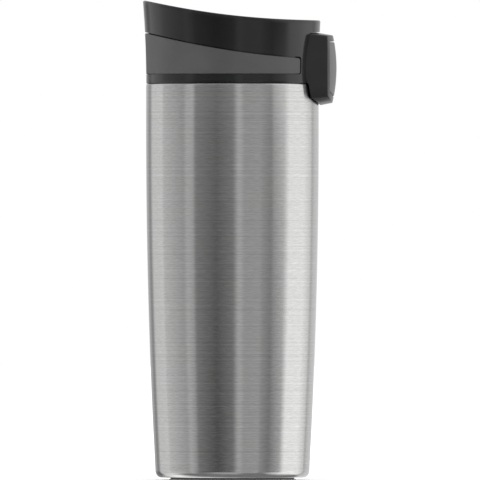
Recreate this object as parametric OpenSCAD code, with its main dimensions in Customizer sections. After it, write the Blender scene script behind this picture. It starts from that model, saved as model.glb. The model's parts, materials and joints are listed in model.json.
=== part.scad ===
// Insulated travel mug: a double-walled steel body and a screw-in lid whose drinking valve
// opens while a side button is pressed.
// Millimetres. The origin is on the table under the mug's axis. +Z is up, the button faces +X
// and the drinking lip faces -X.

/* [Steel body] */
// Outside diameter of the straight upper part of the body
body_d = 76.2; // [74:0.2:84]
// Height of the steel rim above the table
rim_z = 175.1; // [150:0.1:200]
// Depth below the rim at which the body starts to narrow
taper_drop = 21; // [15:1:60]
// Radius of the long arc along which the body narrows
taper_arc_r = 2750; // [2400:50:6000]
// Thickness of the steel sheet of both walls
sheet_t = 0.6; // [0.4:0.05:0.7]
// Distance from the outside of the body to the inside of the liner
double_wall = 3.9; // [3.5:0.1:5]
// Rounding of the body's bottom edge
base_round = 2.5; // [2:0.1:5]
// Rounding of the body's shoulder at the mouth
rim_round = 0.8; // [0.75:0.05:1.5]
// Rounding of the liner's lip
lip_round = 1; // [0.9:0.05:1.2]
// Height of the liner's inside floor above the table
liner_floor_z = 11.4; // [11:0.1:20]
// Rounding between the liner's wall and floor
liner_round = 8; // [4:0.5:12]

/* [Base] */
// Width of the flat ring of steel between the rounding and the foot's pan
base_land = 2.45; // [1:0.05:6]
// Gap between the pan and the rubber foot
foot_gap = 0.4; // [0.2:0.05:0.8]
// Distance that the foot stands out below the steel
foot_proud = 1.2; // [0.8:0.1:2]
// Chamfer round the foot's lower edge
foot_chamfer = 0.4; // [0.2:0.1:0.7]
// Depth of the pan that holds the foot
pan_depth = 3; // [2:0.1:3.6]
// Diameter of the dimple in the pan, where the vacuum port is sealed
dimple_d = 12; // [8:0.5:16]
// Height of the dimple
dimple_h = 1.2; // [0.8:0.1:1.6]
// Diameter of the vacuum port
port_d = 2.4; // [1.5:0.1:4]
// Diameter of the getter capsule under the liner
getter_d = 12; // [8:0.5:20]
// Height of the getter capsule
getter_h = 2.4; // [1.5:0.1:3.2]
// Chamfer of the getter capsule's edges
getter_chamfer = 0.6; // [0.3:0.1:0.7]
// Gap between the bead of solder and the dimple's side
bead_side_gap = 0.4; // [0.2:0.1:0.8]
// Depth of the bead's underside inside the dimple
bead_inset = 0.3; // [0.1:0.1:0.5]
// Depth of the hollow in the foot, under the dimple
foot_hollow = 1; // [0.5:0.1:1.2]
// Gap between the dimple and the hollow's side
foot_hollow_gap = 0.5; // [0.3:0.1:1]

/* [Lid shell] */
// Gap between the steel rim and the lid's lower edge
lid_gap = 0.05; // [0.03:0.01:0.5]
// Distance that the lid's lower edge lies inside the steel's outside
lid_inset = 0.05; // [-1:0.05:0.3]
// Radius of the arc along which the lid flares outwards
flare_arc_r = 445; // [350:5:900]
// Thickness of the lid's outer wall at its lower edge
lid_wall = 2.8; // [2.6:0.1:3.4]
// Height of the rim's lowest point above the lid's lower edge
rim_low_h = 28.1; // [26:0.1:34]
// Radius of the arc on which the rim sweeps up to the drinking lip
rim_arc_r = 324; // [250:2:600]
// Distance inside the lid's lower edge at which the rim's arc is lowest
rim_low_inset = 1.8; // [-10:0.2:5]
// Gap between the deck and the button's guide tube under it
deck_gap = 2.1; // [0.5:0.1:4]
// Thickness of the deck
deck_t = 2.2; // [1.8:0.1:2.6]
// Slope of the deck down towards the drinking lip, in degrees
deck_tilt = 4; // [2:0.5:5]
// Thickness of the wall round the drinking well, at the deck
well_wall = 1.95; // [1.8:0.05:2.6]
// Rounding between the deck and the wall round it
well_round = 4; // [2:0.5:6]

/* [Lid drum] */
// Depth of the drum below the lid's lower edge
drum_depth = 26.2; // [25:0.1:32]
// Gap between the drum and the liner's neck, which the screw thread takes up
thread_gap = 0.8; // [0.7:0.05:1.2]
// Thickness of the drum's wall
drum_wall = 1.8; // [1.6:0.1:2.4]
// Depth of the valve seats below the lid's lower edge
seat_depth = 15.2; // [14.5:0.1:16]
// Thickness of the drum's floor
drum_floor_t = 2.5; // [2:0.1:3]
// Height of the drum's flange above the lid's lower edge
flange_up = 0.3; // [0.2:0.1:0.8]
// Thickness of the drum's flange
flange_t = 1.9; // [1.5:0.1:2.4]
// Ledge in the lid's wall that the flange is welded to
weld_ledge = 1; // [0.6:0.1:1.4]
// Depth of the gasket's groove in the drum's wall
groove_depth = 1.1; // [0.8:0.1:1.2]
// Height of the gasket's groove
groove_h = 3.2; // [2.6:0.1:4]
// Depth of the groove's upper side below the lid's lower edge
groove_drop = 2; // [1.6:0.1:3]
// Gap between the gasket's lips and the liner's neck
gasket_gap = 0.1; // [0.05:0.01:0.2]
// Depth of the gasket's body inside the drum's outside
gasket_inset = 0.1; // [0.05:0.05:0.3]
// Chamfer round the drum's lower edge
drum_chamfer = 0.6; // [0.3:0.1:0.8]
// Thickness of the ribs that keep the valve's arm from turning
key_t = 1.2; // [0.8:0.1:1.6]
// Length of those ribs
key_l = 5; // [3:0.5:6]
// Gap between the valve's arm and those ribs
key_gap = 0.4; // [0.2:0.1:0.5]

/* [Drinking spout and vent] */
// Length of the spout's opening, along the lip
spout_w = 14; // [10:0.5:16]
// Width of the spout's opening, across the lip
spout_l = 7; // [5:0.5:7.5]
// Wall of the spout's and the vent's ducts
duct_wall = 1.6; // [1.2:0.1:1.8]
// Gap between the spout's duct and the drum's wall
duct_gap = 1; // [0.6:0.1:1.5]
// Diameter of the vent
vent_d = 2.4; // [2:0.1:3]

/* [Grip band] */
// Height of the band's lower edge above the lid's lower edge
band_low_h = 3.9; // [3:0.1:6]
// Height of the lowest point of the band's upper edge above the lid's lower edge
band_top_h = 10.95; // [9:0.05:12]
// Radius of the arc of the band's upper edge
band_arc_r = 342; // [250:2:600]
// Distance outside the lid's lower edge at which the upper edge's arc is lowest
band_low_past = 12.6; // [8:0.2:18]
// Angle from the button's middle to the band's ends, in degrees
band_end = 37.2; // [36:0.1:50]
// Thickness of the band
band_t = 1.3; // [0.8:0.1:1.5]
// Gap behind the band
band_gap = 0.3; // [0.1:0.05:0.5]
// Gap below the band
band_low_gap = 0.1; // [0.05:0.05:0.5]
// Gap above the band
band_top_gap = 0.55; // [0.1:0.05:0.8]
// Gap at the band's ends
band_end_gap = 1.1; // [0.4:0.1:1.4]

/* [Button] */
// Width of the button's housing
pod_w = 40.2; // [36:0.2:42]
// Height of the button's housing
pod_h = 31.8; // [28:0.1:34]
// Height of the housing's middle above the lid's lower edge
pod_mid_h = 6.3; // [4:0.1:8]
// Distance that the button's face stands outside the lid's lower edge
pod_out = 7.95; // [7.6:0.05:10]
// Radius of the face's upright curve
face_arc_r = 66; // [50:1:120]
// Share of the upright curve that is gone at the housing's sides
face_fade = 0.5; // [0:0.05:1]
// Height of the face's widest point above the housing's middle
face_up = 0.5; // [-1:0.1:1]
// Radius on which the housing's sides draw in above its middle
pod_side_r = 45; // [40:1:120]
// Radius of the housing's upper edge
pod_top_r = 600; // [200:10:1000]
// Rounding of the housing's upper corners
pod_corner_r = 1.2; // [1:0.1:4]
// Radius on which the housing's sides draw in below its middle
pod_low_side_r = 34; // [28:1:120]
// Radius of the housing's lower edge
pod_low_r = 48; // [35:1:120]
// Rounding of the housing's lower corners
pod_low_corner_r = 2.5; // [1:0.1:4]
// Distance that the housing's sides lean in towards the face
pod_draft = 0.9; // [0.2:0.05:1]
// Rounding of the housing's front edge
pod_round = 0.8; // [0.5:0.1:1.2]
// Depth that the housing is let into the lid's wall
pod_let_in = 0.65; // [0.3:0.05:0.8]
// Width of the groove round the housing
pod_groove = 0.25; // [0.2:0.05:1.2]
// Gap between the housing's overhang and the steel body
pod_overhang_gap = 0.7; // [0.5:0.1:1.2]
// Depth of the housing's root behind the recess in the lid
pod_root = 2; // [1:0.1:3]
// Thickness of the housing's back wall
pod_back_t = 2; // [1.9:0.05:2.2]
// Width of the button's face plate
cap_w = 32.6; // [28:0.2:33]
// Height of the button's face plate
cap_h = 23.9; // [20:0.1:24.5]
// Thickness of the button's face plate
cap_t = 2.8; // [2:0.1:3]
// Rounding of the face plate's edge
cap_round = 0.4; // [0.2:0.1:0.8]
// Rounding of the face plate's upper corners
cap_corner_r = 3; // [1:0.1:5]
// Gap round the button's face plate
cap_gap = 0.35; // [0.2:0.05:0.6]
// Gap between the boss on the face plate and the guide tube's bore
cap_boss_gap = 0.3; // [0.2:0.05:0.5]
// Gap between that boss and the rod's piston
cap_boss_end_gap = 1.5; // [1:0.1:2]
// Thickness of the plate in front of the rod's socket
socket_floor_t = 0.8; // [0.6:0.1:1]
// Travel of the button
press_travel = 3.5; // [2.5:0.1:3.6]

/* [Button mechanism] */
// Gap between the guide tube and the drum's flange under it
tube_gap = 0.4; // [0.2:0.1:1]
// Diameter of the push rod
rod_d = 5; // [4:0.1:5.4]
// Step from the rod to its thicker front end
rod_front_step = 0.5; // [0.3:0.1:0.7]
// Outside diameter of the rod's guide tube
tube_d = 12.4; // [11:0.1:13]
// Wall of the guide tube
tube_wall = 1.2; // [1:0.1:1.5]
// Thickness of the guide tube's end
tube_end_t = 2; // [1.5:0.1:3]
// Length of the rod's piston
piston_l = 6; // [4:0.5:7]
// Length of the button's spring at rest
button_spring_l = 11; // [9:0.5:12]
// Turns of the button's spring
button_spring_turns = 6; // [4:1:7]
// Wire diameter of both springs
wire_d = 0.7; // [0.5:0.05:0.8]
// Gap between the springs' wire and the rods inside them
spring_gap = 0.8; // [0.6:0.05:1]
// Width of the cam block on the rod's end
cam_w = 9; // [7:0.2:10]
// Length of the cam block behind the valve stem's head
cam_hub_l = 9.5; // [8:0.5:11]
// Height of the cam block above the rod
cam_over_rod = 0.8; // [0.5:0.1:1.2]
// Depth of the cam block below the rod
cam_under_rod = 2; // [1.5:0.1:2.4]
// Gap between the cam's ramp and the stem's ramp at rest, measured along X
cam_gap = 0.1; // [0.05:0.05:0.2]
// Thickness of the retaining clip on the guide tube
housing_clip_t = 1; // [0.8:0.1:1.2]
// Outside diameter of the retaining clip on the guide tube
housing_clip_d = 14.4; // [13.8:0.1:16]
// Gap between the retaining clip and the lid's wall
housing_clip_gap = 0.2; // [0.1:0.05:0.4]

/* [Drinking valve] */
// Diameter of the valve's stem
stem_d = 5; // [4:0.1:5.4]
// Width of the stem's head
head_w = 9; // [8:0.2:10]
// Height of the stem's head
head_h = 8; // [7:0.2:9]
// Height of the head's top above the rod's middle
head_over_rod = 0.5; // [0.3:0.1:0.8]
// Distance that the ramps lie back from the meeting of both axes
ramp_back = 1.5; // [1.2:0.1:1.8]
// Diameter of the stem's end, below its shoulder
stem_end_d = 3.8; // [3:0.1:3.8]
// Height of the guide boss on the drum's floor
boss_h = 4; // [3.5:0.1:4.5]
// Diameter of the guide boss
boss_d = 10.6; // [10:0.1:12]
// Diameter of the stem seal's rubber
seal_d = 1.5; // [1.2:0.05:1.6]
// Gap round the seal in its gland
gland_gap = 0.1; // [0.05:0.05:0.2]
// Depth of the seal below the boss's top
gland_cover = 0.5; // [0.2:0.1:0.8]
// Thickness of the washer over the stem's seal
washer_t = 0.5; // [0.4:0.1:0.8]
// Gap between the washer and the stem
washer_gap = 0.3; // [0.2:0.05:0.5]
// Turns of the valve's spring
valve_spring_turns = 5; // [3:1:6]
// Thickness of the valve's arm
arm_t = 3; // [2.5:0.1:3.5]
// Width of the valve's arm
arm_w = 9; // [8:0.2:10]
// Diameter of the arm's hub on the stem
arm_hub_d = 11; // [10:0.2:12]
// Thickness of the plugs on the arm
plug_t = 3.4; // [2.8:0.1:3.8]
// Overlap of the plugs on the floor round their openings
plug_lap = 1.6; // [1:0.1:2]
// Gap between the plugs and their seats at rest
plug_gap = 0.05; // [0.02:0.01:0.1]
// Diameter of the pegs that hold the plugs
peg_d = 3; // [2:0.1:3.4]
// Thickness of the clip under the arm
stem_clip_t = 0.8; // [0.6:0.1:1]
// Distance that the clip stands out round the stem's end
stem_clip_out = 1.5; // [1:0.1:2]
// Depth of the clip's groove in the stem's end
stem_groove = 0.5; // [0.3:0.1:0.7]
// Length of the stem's tip below the clip
stem_tip_l = 1.2; // [0.8:0.1:1.6]

/* [Fits] */
// Radial clearance of sliding rods
slide_gap = 0.06; // [0.04:0.01:0.1]
// Clearance of pieces that are pressed, glued or welded together
seat_gap = 0.03; // [0.02:0.01:0.05]

/* [Hidden] */
$fn = 96;
big_arc_fn = 720;
cut_margin = 1;
// Mouth of the open clips, as a share of the shaft they snap on
clip_mouth = 0.6;

// Colours, as the photo shows them
steel_color = [0.72, 0.72, 0.71];
black_color = [0.13, 0.13, 0.13];
grey_color = [0.35, 0.35, 0.35];
face_color = [0.28, 0.28, 0.28];
rubber_color = [0.42, 0.36, 0.40];
silicone_color = [0.60, 0.60, 0.58];
brass_color = [0.76, 0.64, 0.36];

// Steel body
body_r = body_d / 2;
taper_z = rim_z - taper_drop;
neck_r = body_r - double_wall;
weld_r = (neck_r + lip_round + body_r - rim_round) / 2;
steel_z = foot_proud;
base_arc_z = steel_z + base_round;
liner_arc_z = liner_floor_z + liner_round;
profile_steps = 10;

// Base
base_hole_r = body_r_at(base_arc_z) - base_round - base_land;
pan_r = base_hole_r - seat_gap;
pan_in_r = pan_r - sheet_t;
foot_r = pan_in_r - foot_gap;
pan_z = steel_z + pan_depth;

// Lid shell
skirt_z = rim_z + lid_gap;
lid_r = body_r - lid_inset;
rim_low_x = lid_r - rim_low_inset;
rim_low_z = skirt_z + rim_low_h;
lip_reach = lid_r + 3 * cut_margin;
lid_top_z = rim_low_z + arc_rise(rim_arc_r, rim_low_x + lip_reach) + cut_margin;
bay_r = lid_r - lid_wall;
ledge_r = bay_r - weld_ledge;
well_r = lid_r - well_wall;
well_h = lid_top_z - skirt_z;

// Lid drum
drum_r = neck_r - thread_gap;
drum_in_r = drum_r - drum_wall;
drum_z = skirt_z - drum_depth;
seat_z = skirt_z - seat_depth;
drum_floor_z = seat_z + drum_floor_t;
flange_z = skirt_z + flange_up;
flange_r = bay_r - seat_gap;
flange_top_z = flange_z + flange_t;
groove_top_z = skirt_z - groove_drop;
groove_z = groove_top_z - groove_h;
groove_r = drum_r - groove_depth;

// Button's mechanism
rod_r = rod_d / 2;
tube_r = tube_d / 2;
clip_slot = clip_mouth * tube_d;
clip_drop = sqrt(pow(housing_clip_d / 2, 2) - pow(clip_slot / 2, 2));
rod_z = flange_top_z + tube_gap + max(tube_r, clip_drop);
bore_r = tube_r - tube_wall;
tube_x = head_w / 2 + cam_hub_l;
spring_x = tube_x + tube_end_t;
piston_x = spring_x + button_spring_l;
piston_end_x = piston_x + piston_l;
deck_z = rod_z + tube_r + deck_gap + deck_t / cos(deck_tilt) - tube_x * tan(deck_tilt);
rod_front_r = rod_r + rod_front_step;

// Housing and face plate
pod_z = skirt_z + pod_mid_h;
face_r = lid_r + pod_out;
let_in_r = lid_r - pod_let_in;
pod_root_x = sqrt(pow(let_in_r, 2) - pow(pod_w / 2, 2)) - pod_root;
pod_floor_r = let_in_r + pod_back_t;
overhang_r = body_r + pod_overhang_gap;
side_steps = 6;
corner_steps = 4;
end_steps = 6;
pod_sides = 4 * (side_steps + corner_steps + end_steps);
pod_corners = [pod_corner_r, pod_low_corner_r];
cap_corners = [cap_corner_r, cap_corner_r];
round_steps = 4;
face_rings = [0.75, 0.5, 0.25];
cap_back_r = face_r - cap_t;
cap_boss_r = bore_r - cap_boss_gap;
cap_boss_x = piston_end_x + cap_boss_end_gap;
clip_end_x = sqrt(pow(ledge_r, 2) - pow(housing_clip_d / 2, 2)) - housing_clip_gap;
clip_x = clip_end_x - housing_clip_t;
clip_groove = tube_wall / 2;

// Drinking valve
stem_r = stem_d / 2;
head_top_z = rod_z + head_over_rod;
head_z = head_top_z - head_h;
ramp_sum = rod_z - ramp_back;
cam_top_z = rod_z + rod_r + cam_over_rod;
cam_z = rod_z - rod_r - cam_under_rod;
cam_nose_x = ramp_sum + cam_gap - cam_top_z;
boss_r = boss_d / 2;
boss_top_z = drum_floor_z + boss_h;
gland_r = stem_r + slide_gap + seal_d + gland_gap;
gland_z = boss_top_z - seal_d - gland_cover;
spring_z = boss_top_z + seat_gap + washer_t;
valve_spring_l = head_z - spring_z;
arm_top_z = seat_z - plug_gap - plug_t;
arm_z = arm_top_z - arm_t;
stem_tip_z = arm_z - stem_clip_t - stem_tip_l;
vent_r = vent_d / 2;
vent_out_r = vent_r + duct_wall;
nose_clearance = 1.5;
vent_x = cam_nose_x - press_travel - nose_clearance - vent_out_r;
spout_x = -(drum_in_r - duct_gap - duct_wall - spout_l / 2);
arm_end_w = spout_w + 2 * plug_lap;
arm_end_l = spout_l + 2 * plug_lap;
spring_r = max(stem_r, rod_r) + spring_gap + wire_d / 2;

// Height that an arc of radius r gains over a run from its lowest point
function arc_rise(r, run) = r - sqrt(r * r - run * run);
// Points along an arc about c
function arc(c, r, from, to, steps = 8) =
    [for (i = [0 : steps]) let (a = from + (to - from) * i / steps) c + r * [cos(a), sin(a)]];
// Outside radius of the steel body at a height
function body_r_at(z) = body_r - arc_rise(taper_arc_r, max(0, taper_z - z));
// The body's side, moved inwards, without its lower end
function body_side(inset, from, to) =
    [for (i = [1 : profile_steps]) let (z = from + (to - from) * i / profile_steps)
        [body_r_at(z) - inset, z]];
// Outside radius of the lid at a height
function lid_r_at(z) = lid_r + arc_rise(flare_arc_r, max(0, z - skirt_z));
// The lid's side, moved inwards
function lid_side(inset, from, to) =
    [for (i = [0 : profile_steps]) let (z = from + (to - from) * i / profile_steps)
        [lid_r_at(z) - inset, z]];
function wider(list, by) = [for (r = list) r + by];
function reversed(list) = [for (i = [len(list) - 1 : -1 : 0]) list[i]];

// Outline of the button's housing, seen along X: each quarter is an arc of the side, a tight
// corner and an arc of the upper or lower edge, all tangent
function pod_quarter(half_w, half_h, side_r, corner_r, end_r) =
    let (side_c = [half_w - side_r, 0],
        end_c = [0, half_h - end_r],
        apart = norm(end_c - side_c),
        along = (end_c - side_c) / apart,
        to_side = side_r - corner_r,
        to_end = end_r - corner_r,
        foot = (to_side * to_side - to_end * to_end + apart * apart) / (2 * apart),
        corner_c = side_c + foot * along
            + sqrt(to_side * to_side - foot * foot) * [-along[1], along[0]],
        side_a = atan2(corner_c[1], corner_c[0] - side_c[0]),
        end_a = atan2(corner_c[1] - end_c[1], corner_c[0]),
        corner_step = (end_a - side_a) / corner_steps,
        end_step = (90 - end_a) / end_steps)
    concat(
        arc(side_c, side_r, 0, side_a, side_steps),
        arc(corner_c, corner_r, side_a + corner_step, end_a, corner_steps - 1),
        arc(end_c, end_r, end_a + end_step, 90 - end_step, end_steps - 2));
function pod_outline(half_w, half_h, corners) =
    let (top = pod_quarter(half_w, half_h, pod_side_r, corners[0], pod_top_r),
        low = pod_quarter(half_w, half_h, pod_low_side_r, corners[1], pod_low_r),
        last = len(top) - 1)
    concat(
        top,
        [[0, half_h]],
        [for (i = [last : -1 : 1]) [-top[i][0], top[i][1]]],
        [for (p = low) -p],
        [[0, -half_h]],
        [for (i = [last : -1 : 1]) [low[i][0], -low[i][1]]]);
// The button's face: round the mug's axis, with an upright curve that fades towards its sides
function face_x(y, dz) =
    let (left = 1 - face_fade * pow(2 * y / pod_w, 2),
        r = face_r - arc_rise(face_arc_r, abs(dz - face_up)) * left)
    sqrt(r * r - y * y);

// A prism along X from one x to another, with the housing's outline
module pod_prism(half_w, half_h, corners, from, to) {
    translate([from, 0, pod_z]) rotate([90, 0, 90]) linear_extrude(to - from)
        polygon(pod_outline(half_w, half_h, corners));
}

// A block with the housing's outline, whose sides lean in from the lid's surface to a rounded
// front edge and the curved face
module pod_block(half_w, half_h, corners, draft, edge_r) {
    // Each ring of the front edge: how far it is drawn in, and how far behind the face it lies
    edge_rings = [for (k = [0 : round_steps]) let (a = 90 * k / round_steps)
        [draft + edge_r * (1 - cos(a)), edge_r * (1 - sin(a))]];
    outline = pod_outline(half_w, half_h, corners);
    function ring(inset, behind, scale) =
        [for (q = pod_outline(half_w - inset, half_h - inset, corners)) let (p = scale * q)
            [face_x(p[0], p[1]) - behind, p[0], pod_z + p[1]]];
    points = concat(
        [for (p = outline) [pod_root_x, p[0], pod_z + p[1]]],
        [for (p = outline) [sqrt(lid_r * lid_r - p[0] * p[0]), p[0], pod_z + p[1]]],
        [for (r = edge_rings) each ring(r[0], r[1], 1)],
        [for (s = face_rings) each ring(draft + edge_r, 0, s)],
        [[face_x(0, 0), 0, pod_z]]);
    pole = len(points) - 1;
    ring_count = pole / pod_sides;
    faces = concat(
        [[for (i = [0 : pod_sides - 1]) i]],
        [for (k = [0 : ring_count - 2], i = [0 : pod_sides - 1])
            let (n = (i + 1) % pod_sides, p = k * pod_sides, q = p + pod_sides)
            each [[p + i, q + i, q + n], [p + i, q + n, p + n]]],
        [for (i = [0 : pod_sides - 1]) let (p = pole - pod_sides)
            [p + (i + 1) % pod_sides, p + i, pole]]);
    polyhedron(points, faces, convexity = 6);
}

// A rod along X at the push rod's height
module rod_along_x(r, from, to) {
    translate([from, 0, rod_z]) rotate([0, 90, 0]) cylinder(r = r, h = to - from);
}

// A slab with round ends, longer along Y than along X
module oblong(l, w, z, h) {
    translate([0, 0, z]) linear_extrude(h) {
        square([l, w - l], center = true);
        for (s = [-1, 1]) translate([0, s * (w - l) / 2]) circle(d = l);
    }
}

// A helical spring along Z from z = 0: one swept tube with flat ends
module coil(r, wire, l, turns) {
    sides = 6;
    per_turn = 12;
    steps = turns * per_turn;
    pitch = (l - wire) / turns;
    echo(turn_gap = pitch - wire);
    points = [for (i = [0 : steps], k = [0 : sides - 1])
        let (a = 360 * i / per_turn, b = 360 * k / sides, d = r + wire / 2 * cos(b))
        [d * cos(a), d * sin(a), wire / 2 + pitch * i / per_turn + wire / 2 * sin(b)]];
    faces = concat(
        [[for (k = [sides - 1 : -1 : 0]) k]],
        [for (i = [0 : steps - 1], k = [0 : sides - 1])
            let (n = (k + 1) % sides, p = i * sides, q = p + sides)
            each [[p + k, q + n, q + k], [p + k, p + n, q + n]]],
        [[for (k = [0 : sides - 1]) steps * sides + k]]);
    polyhedron(points, faces, convexity = 10);
}

// The double-walled steel vessel

module outer_shell() {
    base_c = [body_r_at(base_arc_z) - base_round, base_arc_z];
    rim_c = [body_r - rim_round, rim_z - rim_round];
    color(steel_color) rotate_extrude() polygon(concat(
        [[base_hole_r, steel_z]],
        arc(base_c, base_round, -90, 0),
        body_side(0, base_arc_z, taper_z),
        arc(rim_c, rim_round, 0, 90),
        [[weld_r, rim_z], [weld_r, rim_z - sheet_t]],
        arc(rim_c, rim_round - sheet_t, 90, 0),
        [[body_r - sheet_t, taper_z]],
        body_side(sheet_t, taper_z, base_arc_z),
        arc(base_c, base_round - sheet_t, -10, -90),
        [[base_hole_r, steel_z + sheet_t]]));
}

module inner_liner() {
    floor_c = [body_r_at(liner_arc_z) - double_wall - liner_round, liner_arc_z];
    lip_c = [neck_r + lip_round, rim_z - lip_round];
    lip_end_r = weld_r - seat_gap;
    color(steel_color) rotate_extrude() polygon(concat(
        [[0, liner_floor_z - sheet_t]],
        arc(floor_c, liner_round + sheet_t, -90, 0),
        body_side(double_wall - sheet_t, liner_arc_z, taper_z),
        arc(lip_c, lip_round - sheet_t, 180, 90),
        [[lip_end_r, rim_z - sheet_t], [lip_end_r, rim_z]],
        arc(lip_c, lip_round, 90, 180),
        [[neck_r, taper_z]],
        body_side(double_wall, taper_z, liner_arc_z),
        arc(floor_c, liner_round, -10, -90),
        [[0, liner_floor_z]]));
}

// Stamped bottom of the outer shell: a pan that holds the foot, with a dimple over the port
module base_pan() {
    dimple_r = dimple_d / 2;
    dimple_z = pan_z + dimple_h;
    port_r = port_d / 2;
    color(steel_color) rotate_extrude() polygon([
        [port_r, dimple_z], [dimple_r - dimple_h, dimple_z], [dimple_r, pan_z],
        [pan_in_r, pan_z], [pan_in_r, steel_z], [pan_r, steel_z], [pan_r, pan_z + sheet_t],
        [dimple_r + sheet_t / 2, pan_z + sheet_t],
        [dimple_r - dimple_h + sheet_t / 2, dimple_z + sheet_t], [port_r, dimple_z + sheet_t]]);
}

// Bead of solder that closes the vacuum port
module port_seal() {
    bead_r = dimple_d / 2 - dimple_h - bead_side_gap;
    bead_z = pan_z + dimple_h - seat_gap;
    nib_r = port_d / 2 - seat_gap;
    bead_foot = 0.6;
    color(brass_color) rotate_extrude() polygon([
        [0, pan_z + bead_inset], [bead_r * bead_foot, pan_z + bead_inset], [bead_r, bead_z],
        [nib_r, bead_z], [nib_r, bead_z + sheet_t], [0, bead_z + sheet_t]]);
}

module getter() {
    top_z = liner_floor_z - sheet_t - seat_gap;
    r = getter_d / 2;
    low_z = top_z - getter_h;
    color(brass_color) rotate_extrude() polygon([
        [0, low_z], [r - getter_chamfer, low_z], [r, low_z + getter_chamfer],
        [r, top_z - getter_chamfer], [r - getter_chamfer, top_z], [0, top_z]]);
}

module foot_pad() {
    top_z = pan_z - seat_gap;
    hollow_r = dimple_d / 2 + foot_hollow_gap;
    color(rubber_color) rotate_extrude() polygon([
        [0, 0], [foot_r - foot_chamfer, 0], [foot_r, foot_chamfer], [foot_r, top_z],
        [hollow_r, top_z], [hollow_r, pan_z - foot_hollow], [0, pan_z - foot_hollow]]);
}

// The lid

// Silicone ring round the drum, with two lips that wipe the liner's neck
module lid_gasket() {
    in_r = groove_r + seat_gap;
    root_r = drum_r - gasket_inset;
    lip_r = neck_r - gasket_gap;
    low_z = groove_z + seat_gap;
    h = groove_h - 2 * seat_gap;
    color(silicone_color) rotate_extrude() polygon([
        [in_r, low_z], [root_r, low_z],
        [lip_r, low_z + h * 0.2], [root_r, low_z + h * 0.4],
        [root_r, low_z + h * 0.6], [lip_r, low_z + h * 0.8],
        [root_r, low_z + h], [in_r, low_z + h]]);
}

// All that lies above an arc that is lowest near the button and rises towards the lip
module above_arc(r, x, z) {
    translate([x, 0, z + r]) rotate([90, 0, 0])
        cylinder(r = r, h = 4 * lid_r, center = true, $fn = big_arc_fn);
}

// The deck's own frame: its middle at the axis, sloping down towards the lip
module on_deck() {
    translate([0, 0, deck_z]) rotate([0, -deck_tilt, 0]) children();
}

// The hollow above the deck, with a round foot to its wall
module drinking_well() {
    on_deck() rotate_extrude() {
        square([well_r - well_round, well_h]);
        translate([0, well_round]) square([well_r, well_h - well_round]);
        translate([well_r - well_round, well_round]) circle(r = well_round);
    }
}

// The hollow under the deck, with the ledge for the drum's flange
module lid_bay() {
    intersection() {
        union() {
            translate([0, 0, skirt_z - cut_margin]) cylinder(r = ledge_r, h = lid_top_z - skirt_z);
            translate([0, 0, skirt_z - cut_margin])
                cylinder(r = bay_r, h = flange_top_z + seat_gap - skirt_z + cut_margin);
        }
        on_deck() translate([0, 0, -deck_t - 2 * lid_r]) cylinder(r = 2 * lid_r, h = 2 * lid_r);
    }
}

// A ring behind the lid's outside, between the grip band's ends, with gaps below and above it
module band_ring(depth, proud, low_gap, top_gap, end_angle) {
    low_z = skirt_z + band_low_h + low_gap;
    high_z = lid_top_z;
    difference() {
        rotate_extrude(angle = 360 - 2 * end_angle, start = end_angle) polygon(concat(
            lid_side(depth, low_z, high_z), reversed(lid_side(-proud, low_z, high_z))));
        above_arc(band_arc_r + top_gap, lid_r + band_low_past, skirt_z + band_top_h - top_gap);
    }
}

// Recess round the button's housing
module pod_seat() {
    difference() {
        pod_prism(pod_w / 2 + pod_groove, pod_h / 2 + pod_groove, wider(pod_corners, pod_groove),
            pod_root_x - cut_margin, face_r);
        translate([0, 0, drum_z]) cylinder(r = let_in_r, h = lid_top_z - drum_z);
    }
}

module lid_shell() {
    duct_h = deck_z - drum_floor_z;
    duct_z = drum_floor_z + seat_gap;
    color(black_color) difference() {
        union() {
            difference() {
                rotate_extrude() polygon(concat(
                    [[0, skirt_z]], lid_side(0, skirt_z, lid_top_z), [[0, lid_top_z]]));
                lid_bay();
            }
            translate([spout_x, 0, 0])
                oblong(spout_l + 2 * duct_wall, spout_w + 2 * duct_wall, duct_z, duct_h);
            translate([vent_x, 0, duct_z]) cylinder(r = vent_out_r, h = duct_h);
        }
        above_arc(rim_arc_r, rim_low_x, rim_low_z);
        drinking_well();
        translate([spout_x, 0, 0])
            oblong(spout_l, spout_w, duct_z - cut_margin, duct_h + 2 * cut_margin);
        translate([vent_x, 0, duct_z - cut_margin]) cylinder(r = vent_r, h = duct_h + 2 * cut_margin);
        band_ring(band_t + band_gap, cut_margin, 0, 0, band_end);
        pod_seat();
        rod_along_x(tube_r + 2 * seat_gap, ledge_r - lid_wall - 2 * weld_ledge, face_r);
    }
}

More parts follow.
